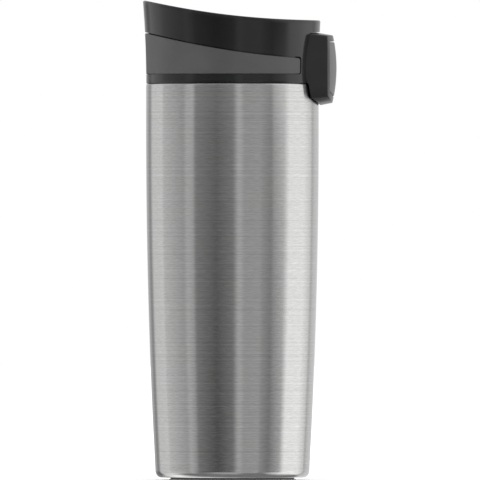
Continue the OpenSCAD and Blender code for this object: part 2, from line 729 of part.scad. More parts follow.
// The threaded plug that reaches into the mug's neck, with the valve's seats in its floor
module lid_drum() {
    wall_mid_r = (drum_r + drum_in_r) / 2;
    key_y = arm_end_w / 2 + key_gap;
    key_x = sqrt(pow(drum_in_r, 2) - pow(key_y, 2)) - key_l + key_t;
    color(black_color) difference() {
        union() {
            rotate_extrude() polygon([
                [0, seat_z], [drum_in_r, seat_z], [drum_in_r, drum_z],
                [drum_r - drum_chamfer, drum_z], [drum_r, drum_z + drum_chamfer],
                [drum_r, groove_z], [groove_r, groove_z],
                [groove_r, groove_top_z], [drum_r, groove_top_z],
                [drum_r, flange_z], [flange_r, flange_z], [flange_r, flange_top_z],
                [drum_in_r, flange_top_z], [drum_in_r, drum_floor_z],
                [boss_r, drum_floor_z], [boss_r, boss_top_z],
                [gland_r, boss_top_z], [gland_r, gland_z], [0, gland_z]]);
            // Two ribs that keep the valve's arm from turning
            intersection() {
                for (s = [-1, 1])
                    translate([-wall_mid_r, s * (key_y + key_t / 2) - key_t / 2, drum_z + drum_chamfer])
                        cube([wall_mid_r - key_x, key_t, seat_z - drum_z]);
                translate([0, 0, drum_z]) cylinder(r = wall_mid_r, h = drum_depth);
            }
        }
        translate([0, 0, drum_z]) cylinder(r = stem_r + slide_gap, h = drum_depth);
        translate([spout_x, 0, 0])
            oblong(spout_l, spout_w, seat_z - cut_margin, drum_floor_t + 2 * cut_margin);
        translate([vent_x, 0, seat_z - cut_margin])
            cylinder(r = vent_r, h = drum_floor_t + 2 * cut_margin);
    }
}

module grip_band() {
    end_gap_angle = band_end_gap / lid_r * 180 / PI;
    color(grey_color) band_ring(band_t, 0, band_low_gap, band_top_gap, band_end + end_gap_angle);
}

// Stem of the drinking valve: a seal in the drum's boss, held down by a washer

module stem_seal() {
    ring_r = stem_r + slide_gap + seal_d / 2;
    color(silicone_color) rotate_extrude()
        translate([ring_r, gland_z + seal_d / 2 + seat_gap]) circle(d = seal_d);
}

module spring_washer() {
    color(steel_color) translate([0, 0, boss_top_z + seat_gap]) difference() {
        cylinder(r = boss_r, h = washer_t);
        translate([0, 0, -cut_margin]) cylinder(r = stem_r + washer_gap, h = washer_t + 2 * cut_margin);
    }
}

module valve_spring() {
    color(steel_color) translate([0, 0, spring_z + seat_gap])
        coil(spring_r, wire_d, valve_spring_l - 2 * seat_gap, valve_spring_turns);
}

// The button

module button_housing() {
    low_z = pod_z - pod_h;
    color(black_color) difference() {
        union() {
            difference() {
                pod_block(pod_w / 2, pod_h / 2, pod_corners, pod_draft, pod_round);
                // Its back follows the recess in the lid, and hangs clear of the steel below
                rotate_extrude() polygon([
                    [0, low_z], [overhang_r, low_z], [overhang_r, skirt_z],
                    [let_in_r + seat_gap, skirt_z], [let_in_r + seat_gap, lid_top_z], [0, lid_top_z]]);
                // Pocket of the face plate
                difference() {
                    pod_prism(cap_w / 2 + cap_gap, cap_h / 2 + cap_gap, wider(cap_corners, cap_gap),
                        pod_root_x, face_r + cut_margin);
                    translate([0, 0, low_z]) cylinder(r = pod_floor_r, h = 2 * pod_h);
                }
            }
            rod_along_x(tube_r, tube_x, let_in_r + pod_back_t / 2);
        }
        rod_along_x(bore_r, spring_x, face_r);
        rod_along_x(rod_r + slide_gap, tube_x - cut_margin, face_r);
        // Groove of the retaining clip
        difference() {
            rod_along_x(tube_r + cut_margin, clip_x - seat_gap, clip_end_x + seat_gap);
            rod_along_x(tube_r - clip_groove, clip_x - cut_margin, clip_end_x + cut_margin);
        }
    }
}

// Open ring that holds the housing's guide tube against the inside of the lid's wall
module housing_clip() {
    color(steel_color) difference() {
        rod_along_x(housing_clip_d / 2, clip_x, clip_end_x);
        rod_along_x(tube_r - clip_groove + seat_gap, clip_x - cut_margin, clip_end_x + cut_margin);
        translate([clip_x - cut_margin, -clip_slot / 2, rod_z - housing_clip_d])
            cube([housing_clip_t + 2 * cut_margin, clip_slot, housing_clip_d]);
    }
}

module button_spring() {
    color(steel_color) translate([spring_x + seat_gap, 0, rod_z]) rotate([0, 90, 0])
        coil(spring_r, wire_d, button_spring_l - 2 * seat_gap, button_spring_turns);
}

module button_cap() {
    color(face_color) difference() {
        union() {
            difference() {
                pod_block(cap_w / 2, cap_h / 2, cap_corners, 0, cap_round);
                translate([0, 0, pod_z - cap_h]) cylinder(r = cap_back_r, h = 2 * cap_h);
            }
            rod_along_x(cap_boss_r, cap_boss_x, cap_back_r + cap_t / 4);
        }
        rod_along_x(rod_front_r + seat_gap, cap_boss_x - cut_margin, cap_back_r - socket_floor_t);
    }
}

// Rod that carries the button's push to the cam, with a piston that the spring bears on
module push_rod() {
    color(grey_color) union() {
        rod_along_x(rod_r, head_w / 2, piston_end_x);
        rod_along_x(bore_r - slide_gap, piston_x, piston_end_x);
        rod_along_x(rod_front_r, piston_x, cap_back_r - socket_floor_t - seat_gap);
    }
}

// Block on the rod's end whose ramp drives the stem down
module push_cam() {
    back_x = tube_x - cam_gap;
    color(silicone_color) difference() {
        rotate([90, 0, 0]) linear_extrude(cam_w, center = true) polygon([
            [ramp_sum + cam_gap - cam_z, cam_z], [back_x, cam_z], [back_x, cam_top_z],
            [cam_nose_x, cam_top_z]]);
        rod_along_x(rod_r + seat_gap, head_w / 2 - seat_gap, back_x + cut_margin);
    }
}

// The drinking valve

module valve_stem() {
    half_w = head_w / 2;
    groove_gap = 2 * seat_gap;
    groove_z = arm_z - stem_clip_t - groove_gap;
    color(silicone_color) difference() {
        union() {
            translate([0, 0, stem_tip_z]) cylinder(d = stem_end_d, h = head_z - stem_tip_z);
            translate([0, 0, arm_top_z]) cylinder(r = stem_r, h = head_z + cut_margin - arm_top_z);
            rotate([90, 0, 0]) linear_extrude(head_w, center = true) polygon([
                [-half_w, head_z], [half_w, head_z], [half_w, ramp_sum - half_w],
                [ramp_sum - head_top_z, head_top_z], [-half_w, head_top_z]]);
        }
        difference() {
            translate([0, 0, groove_z]) cylinder(d = stem_d, h = stem_clip_t + groove_gap);
            translate([0, 0, stem_tip_z])
                cylinder(d = stem_end_d - 2 * stem_groove, h = arm_top_z - stem_tip_z);
        }
    }
}

// Positions of the spout plug's pegs, along Y
function peg_offsets() = [for (s = [-1, 1]) s * spout_w / 4];

module valve_arm() {
    color(black_color) difference() {
        union() {
            translate([0, 0, arm_z]) cylinder(d = arm_hub_d, h = arm_t);
            translate([spout_x, -arm_w / 2, arm_z]) cube([-spout_x, arm_w, arm_t]);
            translate([spout_x, 0, 0]) oblong(arm_end_l, arm_end_w, arm_z, arm_t);
        }
        translate([0, 0, arm_z - cut_margin])
            cylinder(d = stem_end_d + 2 * seat_gap, h = arm_t + 2 * cut_margin);
        for (y = peg_offsets())
            translate([spout_x, y, arm_z - cut_margin])
                cylinder(d = peg_d + 2 * seat_gap, h = arm_t + 2 * cut_margin);
        translate([vent_x, 0, arm_z - cut_margin])
            cylinder(d = peg_d + 2 * seat_gap, h = arm_t + 2 * cut_margin);
    }
}

module spout_plug() {
    z = arm_top_z + seat_gap;
    color(silicone_color) union() {
        translate([spout_x, 0, 0]) oblong(arm_end_l, arm_end_w, z, plug_t - seat_gap);
        for (y = peg_offsets())
            translate([spout_x, y, arm_z]) cylinder(d = peg_d, h = arm_t + plug_t / 2);
    }
}

module vent_plug() {
    z = arm_top_z + seat_gap;
    color(silicone_color) translate([vent_x, 0, 0]) union() {
        translate([0, 0, z]) cylinder(r = vent_r + plug_lap, h = plug_t - seat_gap);
        translate([0, 0, arm_z]) cylinder(d = peg_d, h = arm_t + plug_t / 2);
    }
}

// Open ring in the stem's groove, under the arm
module stem_clip() {
    slot = clip_mouth * stem_end_d;
    clip_d = stem_end_d + 2 * stem_clip_out;
    hole_d = stem_end_d - 2 * stem_groove + 2 * seat_gap;
    color(steel_color) translate([0, 0, arm_z - stem_clip_t - seat_gap]) difference() {
        cylinder(d = clip_d, h = stem_clip_t);
        translate([0, 0, -cut_margin]) cylinder(d = hole_d, h = stem_clip_t + 2 * cut_margin);
        translate([0, -slot / 2, -cut_margin])
            cube([clip_d, slot, stem_clip_t + 2 * cut_margin]);
    }
}

outer_shell();
inner_liner();
base_pan();
port_seal();
getter();
foot_pad();
lid_gasket();
lid_shell();
lid_drum();
grip_band();
button_housing();
housing_clip();
stem_seal();
spring_washer();
valve_spring();
button_spring();
button_cap();
push_rod();
push_cam();
valve_stem();
valve_arm();
spout_plug();
vent_plug();
stem_clip();
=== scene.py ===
"""Looks of the insulated travel mug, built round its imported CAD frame.

Shapes are worked out in millimetres, as in part.scad, and turned into metres when a mesh is made.
The mug's axis is Z, the button faces +X and the drinking lip faces -X.
"""
import json
import math

import bmesh
import bpy
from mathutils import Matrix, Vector


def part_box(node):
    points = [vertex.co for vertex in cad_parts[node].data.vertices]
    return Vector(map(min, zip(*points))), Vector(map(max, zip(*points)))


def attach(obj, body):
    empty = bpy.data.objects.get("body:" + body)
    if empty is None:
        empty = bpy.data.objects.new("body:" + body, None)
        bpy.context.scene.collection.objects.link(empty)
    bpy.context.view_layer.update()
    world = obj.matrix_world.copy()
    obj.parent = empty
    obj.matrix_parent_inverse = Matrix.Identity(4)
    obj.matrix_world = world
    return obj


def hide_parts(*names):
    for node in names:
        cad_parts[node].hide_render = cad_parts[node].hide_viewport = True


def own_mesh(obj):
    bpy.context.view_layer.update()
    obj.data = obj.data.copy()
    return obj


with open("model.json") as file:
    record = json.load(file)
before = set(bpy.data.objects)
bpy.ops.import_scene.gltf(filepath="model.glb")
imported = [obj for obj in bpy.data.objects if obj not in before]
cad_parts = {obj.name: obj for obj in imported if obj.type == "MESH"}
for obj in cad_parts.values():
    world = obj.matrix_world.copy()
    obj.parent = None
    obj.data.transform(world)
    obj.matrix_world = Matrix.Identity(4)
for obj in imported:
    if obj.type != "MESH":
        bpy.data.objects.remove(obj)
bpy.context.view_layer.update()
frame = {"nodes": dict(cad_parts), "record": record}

MM = 0.001
AROUND = 256


def node_box(node):
    """Lowest and highest corner of a CAD node, in millimetres."""
    low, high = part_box(node)
    return low / MM, high / MM


# Steel body
shell_low, shell_high = node_box("outer_shell")
BODY_R = shell_high.x
RIM_Z = shell_high.z
STEEL_Z = shell_low.z
TAPER_Z = RIM_Z - 21
TAPER_ARC_R = 2750
SHEET = 0.6
BASE_ROUND = 2.5
BASE_ROUND_H = 3.3
BASE_LAND = 2.45
BASE_ARC_Z = STEEL_Z + BASE_ROUND_H
RIM_ROUND = 0.8
LIP_ROUND = 1
NECK_R = BODY_R - 3.9
WELD_R = (NECK_R + LIP_ROUND + BODY_R - RIM_ROUND) / 2
LINER_FLOOR_Z = 11.4
LINER_ROUND = 8
LINER_ARC_Z = LINER_FLOOR_Z + LINER_ROUND
DOUBLE_WALL = BODY_R - NECK_R
SEAT_GAP = 0.03

# Foot
foot_high = node_box("foot_pad")[1]
FOOT_R = foot_high.x
FOOT_TOP_Z = foot_high.z

# Lid
SKIRT_Z = RIM_Z + 0.05
LID_R = BODY_R - 0.05
FLARE_ARC_R = 445
RIM_ARC_R = 331
RIM_LOW_X = LID_R - 1.8
RIM_LOW_Z = SKIRT_Z + 27.82
RIM_SOFT = 0.7
SKIRT_SOFT = 0.12
WELL_R = LID_R - 1.95
WELL_ROUND = 4
BAY_R = LID_R - 2.8
LEDGE_R = BAY_R - 1
drum_low, drum_high = node_box("lid_drum")
FLANGE_TOP_Z = drum_high.z + SEAT_GAP
DRUM_Z = drum_low.z
DRUM_R = NECK_R - 0.8
DRUM_FLOOR_DROP = 15.2
DRUM_FLOOR_T = 2.5
DRUM_FLOOR_Z = SKIRT_Z - DRUM_FLOOR_DROP + DRUM_FLOOR_T
SPOUT_X = -25.5
SPOUT_L = 7
SPOUT_W = 14
DUCT_WALL = 1.6
VENT_X = -12.5
VENT_R = 1.2

# Grip band
BAND_LOW_Z = SKIRT_Z + 3.9
BAND_ARC_R = 342
BAND_LOW_X = LID_R + 12.6
BAND_TOP_Z = SKIRT_Z + 10.95
BAND_END = math.radians(37.2)
BAND_T = 1.3
BAND_GAP = 0.3
BAND_LOW_GAP = 0.1
BAND_TOP_GAP = 0.55
BAND_END_GAP = 0.8 / LID_R
BAND_CORNER = 0.9
BAND_EDGE = 0.45

# Button's housing
POD_Z = SKIRT_Z + 6.3
POD_HALF_W = 20.1
POD_HALF_H = 15.9
POD_SIDE_R = 45
POD_TOP_R = 600
POD_CORNER_R = 1.2
POD_LOW_SIDE_R = 31
POD_LOW_R = 48
POD_LOW_CORNER_R = 2.5
POD_BACK_ROUND = 0.4
POD_FLARE = 0.16
POD_FLARE_L = 0.9
POD_FLARE_H = 1.5
POD_FLARE_BEND = 1.5
POD_PROUD = 0.02
POD_DRAFT = 0.9
POD_ROUND = 0.5
POD_STEP = 0.3
POD_POINTS = 192
LET_IN_R = LID_R - 0.65
OVERHANG_R = BODY_R + 0.6
POD_FLOOR_R = LET_IN_R + 2

# Groove round the housing, which opens between two heights over the housing's middle
GROOVE = 0.5
GROOVE_INSET = POD_BACK_ROUND - 0.1
GROOVE_FROM = 2
GROOVE_TO = 14

# Button's face plate, with its rod, spring and guide tube
FACE_R = LID_R + 7.95
FACE_ARC_R = 66
FACE_FADE = 0.5
FACE_UP = 0.5
CAP_HALF_W = 16.3
CAP_HALF_H = 11.95
CAP_T = 2.8
CAP_GAP = 0.35
CAP_EDGE = 0.4
CAP_CORNER_R = 3
ROD_R = 2.5
ROD_GAP = 0.06
ROD_POINTS = 64
TUBE_R = 6.2
TUBE_GAP = 0.4
TUBE_CHAMFER = 0.3
ROD_Z = drum_high.z + TUBE_GAP + TUBE_R
BORE_R = 5
TUBE_X = 14
SPRING_X = TUBE_X + 2
BUTTON_SPRING_L = 11
CAP_BOSS_X = 34.5
CAP_BOSS_R = BORE_R - 0.3
SOCKET_R = ROD_R + 0.5 + SEAT_GAP
SOCKET_FLOOR = 0.8

# Springs
WIRE_R = 0.35
SPRING_GAP = 0.8
SPRING_R = ROD_R + SPRING_GAP + WIRE_R

# Deck, which clears the button's guide tube. DECK_DROP is its thickness, measured upright
DECK_TILT = math.radians(4)
DECK_T = 2.2
DECK_DROP = DECK_T / math.cos(DECK_TILT)
DECK_GAP = 2.1
DECK_Z = ROD_Z + TUBE_R + DECK_GAP + DECK_DROP - TUBE_X * math.tan(DECK_TILT)


# Shape helpers. Points are in millimetres.

def mix(a, b, share):
    """A value on the way from a to b."""
    return a + (b - a) * share


def share_of(value, start, stop):
    """How far a value is on the way from start to stop, held between 0 and 1."""
    return min(1, max(0, (value - start) / (stop - start)))


def spread(start, stop, steps):
    """Values from start to stop, with both ends."""
    return [start + (stop - start) * i / steps for i in range(steps + 1)]


def full_turn(count):
    """Angles at even steps all round."""
    return [2 * math.pi * i / count for i in range(count)]


def quarter_turn(steps):
    """Angles of a quarter of a turn, with both ends."""
    return spread(0, math.pi / 2, steps)


def arc(centre_r, centre_z, radius, start, stop, steps):
    """Points along an arc in the (r, z) plane, with angles in degrees."""
    angles = [math.radians(a) for a in spread(start, stop, steps)]
    return [(centre_r + radius * math.cos(a), centre_z + radius * math.sin(a)) for a in angles]


def arc_rise(radius, run):
    """Height that an arc gains over a run from its lowest point."""
    return radius - math.sqrt(radius * radius - run * run)


def body_r_at(z):
    """Outer radius of the steel body, which narrows downwards."""
    return BODY_R - arc_rise(TAPER_ARC_R, max(0, TAPER_Z - z))


def lid_r_at(z):
    """Outer radius of the lid, which flares upwards."""
    return LID_R + arc_rise(FLARE_ARC_R, max(0, z - SKIRT_Z))


def rim_z_at(x):
    """Height of the lid's rim, which sweeps up to the drinking lip."""
    return RIM_LOW_Z + arc_rise(RIM_ARC_R, RIM_LOW_X - x)


def band_top_at(x):
    """Height of the upper edge of the band's recess."""
    return BAND_TOP_Z + arc_rise(BAND_ARC_R, BAND_LOW_X - x)


def deck_z_at(x):
    """Height of the lid's sloping deck."""
    return DECK_Z + x * math.tan(DECK_TILT)


def rings_to_mesh(rings, closed=False):
    """Joins rings of equally many points. A ring of one point is a pole."""
    verts = []
    faces = []
    starts = []
    for ring in rings:
        starts.append(len(verts))
        verts.extend(ring)
    pairs = [(k, k + 1) for k in range(len(rings) - 1)]
    if closed:
        pairs.append((len(rings) - 1, 0))
    for k, m in pairs:
        count = max(len(rings[k]), len(rings[m]))
        for i in range(count):
            n = (i + 1) % count
            if len(rings[k]) == 1:
                faces.append((starts[k], starts[m] + n, starts[m] + i))
            elif len(rings[m]) == 1:
                faces.append((starts[k] + i, starts[k] + n, starts[m]))
            else:
                faces.append((starts[k] + i, starts[k] + n, starts[m] + n, starts[m] + i))
    return verts, faces


def middle(ring):
    """The mean of a ring's points."""
    return tuple(sum(p[k] for p in ring) / len(ring) for k in range(3))


def capped(rings):
    """Joins rings, and closes both ends round their middles."""
    return rings_to_mesh([[middle(rings[0])]] + rings + [[middle(rings[-1])]])


def lathe(profile, closed, around=AROUND):
    """Turns (r, z) points about the axis. A point on the axis becomes a pole."""
    turns = full_turn(around)
    rings = []
    for r, z in profile:
        if r == 0:
            rings.append([(0, 0, z)])
        else:
            rings.append([(r * math.cos(a), r * math.sin(a), z) for a in turns])
    return rings_to_mesh(rings, closed)


def unit(vector):
    """The vector at a length of 1."""
    size = math.sqrt(sum(c * c for c in vector))
    return [c / size for c in vector]


def tube(path, radii):
    """A round wire, with flat ends, along a path that winds round the axis. radii has one value per point."""
    sides = 12
    rings = []
    for i, (point, radius) in enumerate(zip(path, radii)):
        before = path[max(0, i - 1)]
        after = path[min(len(path) - 1, i + 1)]
        ahead = unit([b - a for a, b in zip(before, after)])
        from_axis = (point[0], point[1], 0)
        dot = sum(a * b for a, b in zip(from_axis, ahead))
        out = unit([a - dot * b for a, b in zip(from_axis, ahead)])
        up = (ahead[1] * out[2] - ahead[2] * out[1],
              ahead[2] * out[0] - ahead[0] * out[2],
              ahead[0] * out[1] - ahead[1] * out[0])
        ring = []
        for a in full_turn(sides):
            ring.append(tuple(p + radius * (math.cos(a) * o + math.sin(a) * u)
                              for p, o, u in zip(point, out, up)))
        rings.append(ring)
    return rings_to_mesh([[path[0]]] + rings + [[path[-1]]])


def new_object(name, verts, faces):
    """A mesh object in metres, with its faces turned outwards."""
    mesh = bpy.data.meshes.new(name)
    mesh.from_pydata([[c * MM for c in v] for v in verts], [], faces)
    work = bmesh.new()
    work.from_mesh(mesh)
    bmesh.ops.recalc_face_normals(work, faces=work.faces)
    work.to_mesh(mesh)
    work.free()
    obj = bpy.data.objects.new(name, mesh)
    bpy.context.scene.collection.objects.link(obj)
    return obj


def cut(obj, verts, faces):
    """Takes a solid out of an object."""
    tool = new_object("cutter", verts, faces)
    step = obj.modifiers.new("cut", "BOOLEAN")
    step.object = tool
    step.operation = "DIFFERENCE"
    step.solver = "EXACT"
    graph = bpy.context.evaluated_depsgraph_get()
    result = bpy.data.meshes.new_from_object(obj.evaluated_get(graph))
    obj.modifiers.clear()
    old = obj.data
    obj.data = result
    result.name = obj.name
    bpy.data.meshes.remove(old)
    bpy.data.objects.remove(tool)


def dress(obj, body, slot, replaces=(), sharp=35):
    """Smooths an object between its edges, gives it its slot's finish and sets it on its body."""
    obj.data.shade_smooth()
    obj.data.set_sharp_from_angle(angle=math.radians(sharp))
    obj.data.materials.clear()
    obj.data.materials.append(FINISHES[slot])
    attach(obj, body)
    if replaces:
        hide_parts(*replaces)


# Node helpers, for the materials and the world

def own_place(tree):
    """Coordinates in the object's own frame, in metres."""
    return tree.nodes.new("ShaderNodeTexCoord").outputs["Object"]


def map_range(tree, source, from_low, from_high, low=0.0, high=1.0):
    """Maps a range of values to another, and holds its ends."""
    node = tree.nodes.new("ShaderNodeMapRange")
    limits = {"From Min": from_low, "From Max": from_high, "To Min": low, "To Max": high}
    for socket, value in limits.items():
        node.inputs[socket].default_value = value
    tree.links.new(source, node.inputs["Value"])
    return node.outputs["Result"]


def calculate(tree, operation, *values):
    """Works out a sum, a product or an angle of two values, each a socket or a float."""
    node = tree.nodes.new("ShaderNodeMath")
    node.operation = operation
    for socket, value in zip(node.inputs, values):
        if isinstance(value, float):
            socket.default_value = value
        else:
            tree.links.new(value, socket)
    return node.outputs["Value"]


# Materials

# Change of the gloss, size of its clouds, heights where the foot's painted highlight and polish end, depth of
# streaks
WEAR = 0.1
CLOUD_MM = 14
PAINTED_FOOT_LIGHT_MM = (0.3, 0.5)
POLISH_MM = (3.6, 4.2)
STREAK_RELIEF_MM = 0.0015

# Strength of the brushing's marks, as a multiple of the steel's contrast
RINGS = 1.2
DARK_LINES = 2.5
LIGHT_LINES = 2


def shader_input(material, name):
    """A socket of the material's shader."""
    return material.node_tree.nodes["Principled BSDF"].inputs[name]


def new_material(name, colour, roughness, metallic=0.0, specular=0.5):
    """A material with its shader's constants set."""
    material = bpy.data.materials.new(name)
    material.use_nodes = True
    shader_input(material, "Base Color").default_value = (*colour, 1)
    shader_input(material, "Roughness").default_value = roughness
    shader_input(material, "Metallic").default_value = metallic
    shader_input(material, "Specular IOR Level").default_value = specular
    return material


def noise(material, scale, detail=2.0, roughness=0.5):
    """Noise over the object's own coordinates. scale is per metre, along X, Y and Z."""
    tree = material.node_tree
    stretch = tree.nodes.new("ShaderNodeMapping")
    stretch.inputs["Scale"].default_value = scale
    texture = tree.nodes.new("ShaderNodeTexNoise")
    texture.inputs["Scale"].default_value = 1
    texture.inputs["Detail"].default_value = detail
    texture.inputs["Roughness"].default_value = roughness
    tree.links.new(own_place(tree), stretch.inputs["Vector"])
    tree.links.new(stretch.outputs["Vector"], texture.inputs["Vector"])
    return texture.outputs["Fac"]


def remap(material, source, low, high, from_low=0.3, from_high=0.7):
    """Maps a noise's middle range to the values low and high."""
    return map_range(material.node_tree, source, from_low, from_high, low, high)


def by_height(material, below, above, heights_mm):
    """One value below the first height over the table, another above the second."""
    tree = material.node_tree
    split = tree.nodes.new("ShaderNodeSeparateXYZ")
    tree.links.new(own_place(tree), split.inputs["Vector"])
    return map_range(tree, split.outputs["Z"], heights_mm[0] * MM, heights_mm[1] * MM, below, above)


def combine(material, operation, *values):
    """Adds or multiplies values, one after the other."""
    result = values[0]
    for value in values[1:]:
        result = calculate(material.node_tree, operation, result, value)
    return result


def shade_colour(material, colour, factor):
    """Base colour times a varying factor."""
    tree = material.node_tree
    node = tree.nodes.new("ShaderNodeVectorMath")
    node.operation = "SCALE"
    node.inputs[0].default_value = colour
    tree.links.new(factor, node.inputs["Scale"])
    tree.links.new(node.outputs["Vector"], shader_input(material, "Base Color"))


def bump(material, source, depth_mm):
    """Relief of a given depth from a noise."""
    tree = material.node_tree
    node = tree.nodes.new("ShaderNodeBump")
    node.inputs["Distance"].default_value = depth_mm * MM
    tree.links.new(source, node.inputs["Height"])
    tree.links.new(node.outputs["Normal"], shader_input(material, "Normal"))


def moulded(name, colour, roughness, grain_mm, depth_mm, specular=0.5, mottle=0.08, painted_foot_light=1.0):
    """Moulded plastic or rubber: a fine spark-eroded grain, and slight wear in the gloss.

    The last argument is a painted highlight: how many times paler the very foot of the mug is painted, in
    place of the light that its lower edge catches.
    """
    material = new_material(name, colour, roughness, specular=specular)
    grain = noise(material, [1 / (grain_mm * MM)] * 3)
    cloud = noise(material, [1 / (CLOUD_MM * MM)] * 3, detail=3)
    # Painted highlight: the lowest half millimetre is painted paler by the last argument's factor, standing
    # in for light on the foot's edge
    painted_foot_light_and_polish = by_height(material, painted_foot_light, 1, PAINTED_FOOT_LIGHT_MM)
    tone = remap(material, cloud, 1 - mottle, 1 + mottle)
    shade_colour(material, colour, combine(material, "MULTIPLY", tone, painted_foot_light_and_polish))
    gloss = remap(material, cloud, roughness * (1 - WEAR), roughness * (1 + WEAR))
    material.node_tree.links.new(gloss, shader_input(material, "Roughness"))
    bump(material, grain, depth_mm)
    return material


def spun_steel(name, colour, roughness, contrast, anisotropy, streak_mm=3, line_mm=0.3, polish=1.0):
    """Steel brushed round the mug's axis: short streaks, and straight rings that come and go.

    polish is the share of the roughness that is left on the rounded edge at the body's foot.
    """
    material = new_material(name, colour, roughness, metallic=1.0)
    tree = material.node_tree
    shader_input(material, "Anisotropic").default_value = anisotropy
    shader_input(material, "Anisotropic Rotation").default_value = 0.25
    tangent = tree.nodes.new("ShaderNodeTangent")
    tangent.direction_type = "RADIAL"
    tangent.axis = "Z"
    tree.links.new(tangent.outputs["Tangent"], shader_input(material, "Tangent"))
    along = 1 / (streak_mm * MM)
    across = 1 / (line_mm * MM)
    streak = noise(material, (along, along, across))
    lines = noise(material, (0, 0, across / 3), roughness=0.6)
    strong = noise(material, (0, 0, across / 5), detail=1)
    fade = noise(material, (along / 8, along / 8, across / 6))
    fine = remap(material, streak, 1 - contrast, 1 + contrast)
    rings = remap(material, lines, -RINGS * contrast, RINGS * contrast)
    # Only the strong noise's highest and lowest values draw lines
    dark = remap(material, strong, 0, -DARK_LINES * contrast, from_low=0.62, from_high=0.74)
    light = remap(material, strong, LIGHT_LINES * contrast, 0, from_low=0.26, from_high=0.38)
    marks = combine(material, "ADD", rings, dark, light)
    marks = combine(material, "MULTIPLY", marks, remap(material, fade, 0.5, 1.3))
    turned = remap(material, marks, 0, 2, from_low=-1, from_high=1)
    shade_colour(material, colour, combine(material, "MULTIPLY", fine, turned))
    grain = remap(material, streak, roughness * (1 - WEAR), roughness * (1 + WEAR))
    painted_foot_light_and_polish = by_height(material, polish, 1, POLISH_MM)
    tree.links.new(combine(material, "MULTIPLY", grain, painted_foot_light_and_polish), shader_input(material, "Roughness"))
    bump(material, streak, STREAK_RELIEF_MM)
    return material


FINISHES = {
    "brushed_steel": spun_steel("brushed_steel", (0.62, 0.62, 0.614), 0.17, 0.09, 0.95, polish=0.6),
    "liner_steel": spun_steel("liner_steel", (0.60, 0.60, 0.59), 0.34, 0.04, 0.6, 12, 0.4),
    "spring_steel": spun_steel("spring_steel", (0.56, 0.56, 0.56), 0.3, 0.08, 0.0, 1.5, 0.2),
    "solder": moulded("solder", (0.45, 0.41, 0.32), 0.45, 1.2, 0.05, mottle=0.15),
    "lid_plastic": moulded("lid_plastic", (0.0112, 0.0112, 0.0114), 0.12, 0.25, 0.0012),
    "band_plastic": moulded("band_plastic", (0.084, 0.084, 0.084), 0.48, 0.16, 0.008),
    "pod_plastic": moulded("pod_plastic", (0.0205, 0.0205, 0.0205), 0.22, 0.3, 0.002, specular=0.3),
    "button_plastic": moulded("button_plastic", (0.15, 0.15, 0.152), 0.42, 0.2, 0.006),
    "slide_plastic": moulded("slide_plastic", (0.72, 0.70, 0.65), 0.38, 0.4, 0.004, mottle=0.03),
    # The foot rubber's lower edge is painted 3.3 times paler, a painted highlight
    "foot_rubber": moulded("foot_rubber", (0.36, 0.345, 0.355), 0.75, 0.3, 0.02, specular=0.3, painted_foot_light=3.3),
    "silicone": moulded("silicone", (0.42, 0.42, 0.405), 0.5, 0.5, 0.006, mottle=0.03),
}
shader_input(FINISHES["solder"], "Metallic").default_value = 1.0
shader_input(FINISHES["silicone"], "Subsurface Weight").default_value = 0.2
shader_input(FINISHES["silicone"], "Subsurface Scale").default_value = 0.001

# Every CAD node gets its slot's finish, also one that a new piece replaces below
for subpart in frame["record"]["subparts"]:
    node = frame["nodes"][subpart["node"]]
    node.data.materials.clear()
    node.data.materials.append(FINISHES[subpart["material_slot"]])


# The steel vessel

def body_wall(inset, start, stop, steps=48):
    """The body's tapering side, from one height to another."""
    return [(body_r_at(z) - inset, z) for z in spread(start, stop, steps)]


def base_edge(centre_r, inset, start, stop, steps):
    """The rounded edge at the body's base, which is a little taller than wide."""
    taller = (BASE_ROUND_H - inset) / (BASE_ROUND - inset)
    points = arc(centre_r, 0, BASE_ROUND - inset, start, stop, steps)
    return [(r, BASE_ARC_Z + z * taller) for r, z in points]


def make_outer_shell():
    """The brushed outer wall, rolled in at the mouth and at the base."""
    base_r = body_r_at(BASE_ARC_Z) - BASE_ROUND
    hole_r = base_r - BASE_LAND
    rim = (BODY_R - RIM_ROUND, RIM_Z - RIM_ROUND)
    profile = [(hole_r, STEEL_Z)]
    profile += base_edge(base_r, 0, -90, 0, 20)
    profile += body_wall(0, BASE_ARC_Z, TAPER_Z)[1:]
    profile += arc(*rim, RIM_ROUND, 0, 90, 10)
    profile += [(WELD_R, RIM_Z), (WELD_R, RIM_Z - SHEET)]
    profile += arc(*rim, RIM_ROUND - SHEET, 90, 0, 6)
    profile += body_wall(SHEET, TAPER_Z, BASE_ARC_Z, 24)
    profile += base_edge(base_r, SHEET, 0, -90, 8)[1:]
    profile += [(hole_r, STEEL_Z + SHEET)]
    shell = new_object("steel_shell", *lathe(profile, True))
    dress(shell, "vessel", "brushed_steel", ["outer_shell"])


def make_liner():
    """The inner wall with its round floor."""
    floor_r = body_r_at(LINER_ARC_Z) - DOUBLE_WALL - LINER_ROUND
    lip = (NECK_R + LIP_ROUND, RIM_Z - LIP_ROUND)
    end_r = WELD_R - SEAT_GAP
    profile = [(0, LINER_FLOOR_Z - SHEET)]
    profile += arc(floor_r, LINER_ARC_Z, LINER_ROUND + SHEET, -90, 0, 14)
    profile += body_wall(DOUBLE_WALL - SHEET, LINER_ARC_Z, TAPER_Z, 24)[1:]
    profile += arc(*lip, LIP_ROUND - SHEET, 180, 90, 6)
    profile += [(end_r, RIM_Z - SHEET), (end_r, RIM_Z)]
    profile += arc(*lip, LIP_ROUND, 90, 180, 10)
    profile += body_wall(DOUBLE_WALL, TAPER_Z, LINER_ARC_Z)
    profile += arc(floor_r, LINER_ARC_Z, LINER_ROUND, 0, -90, 14)[1:]
    profile += [(0, LINER_FLOOR_Z)]
    liner = new_object("steel_liner", *lathe(profile, False))
    dress(liner, "vessel", "liner_steel", ["inner_liner"])


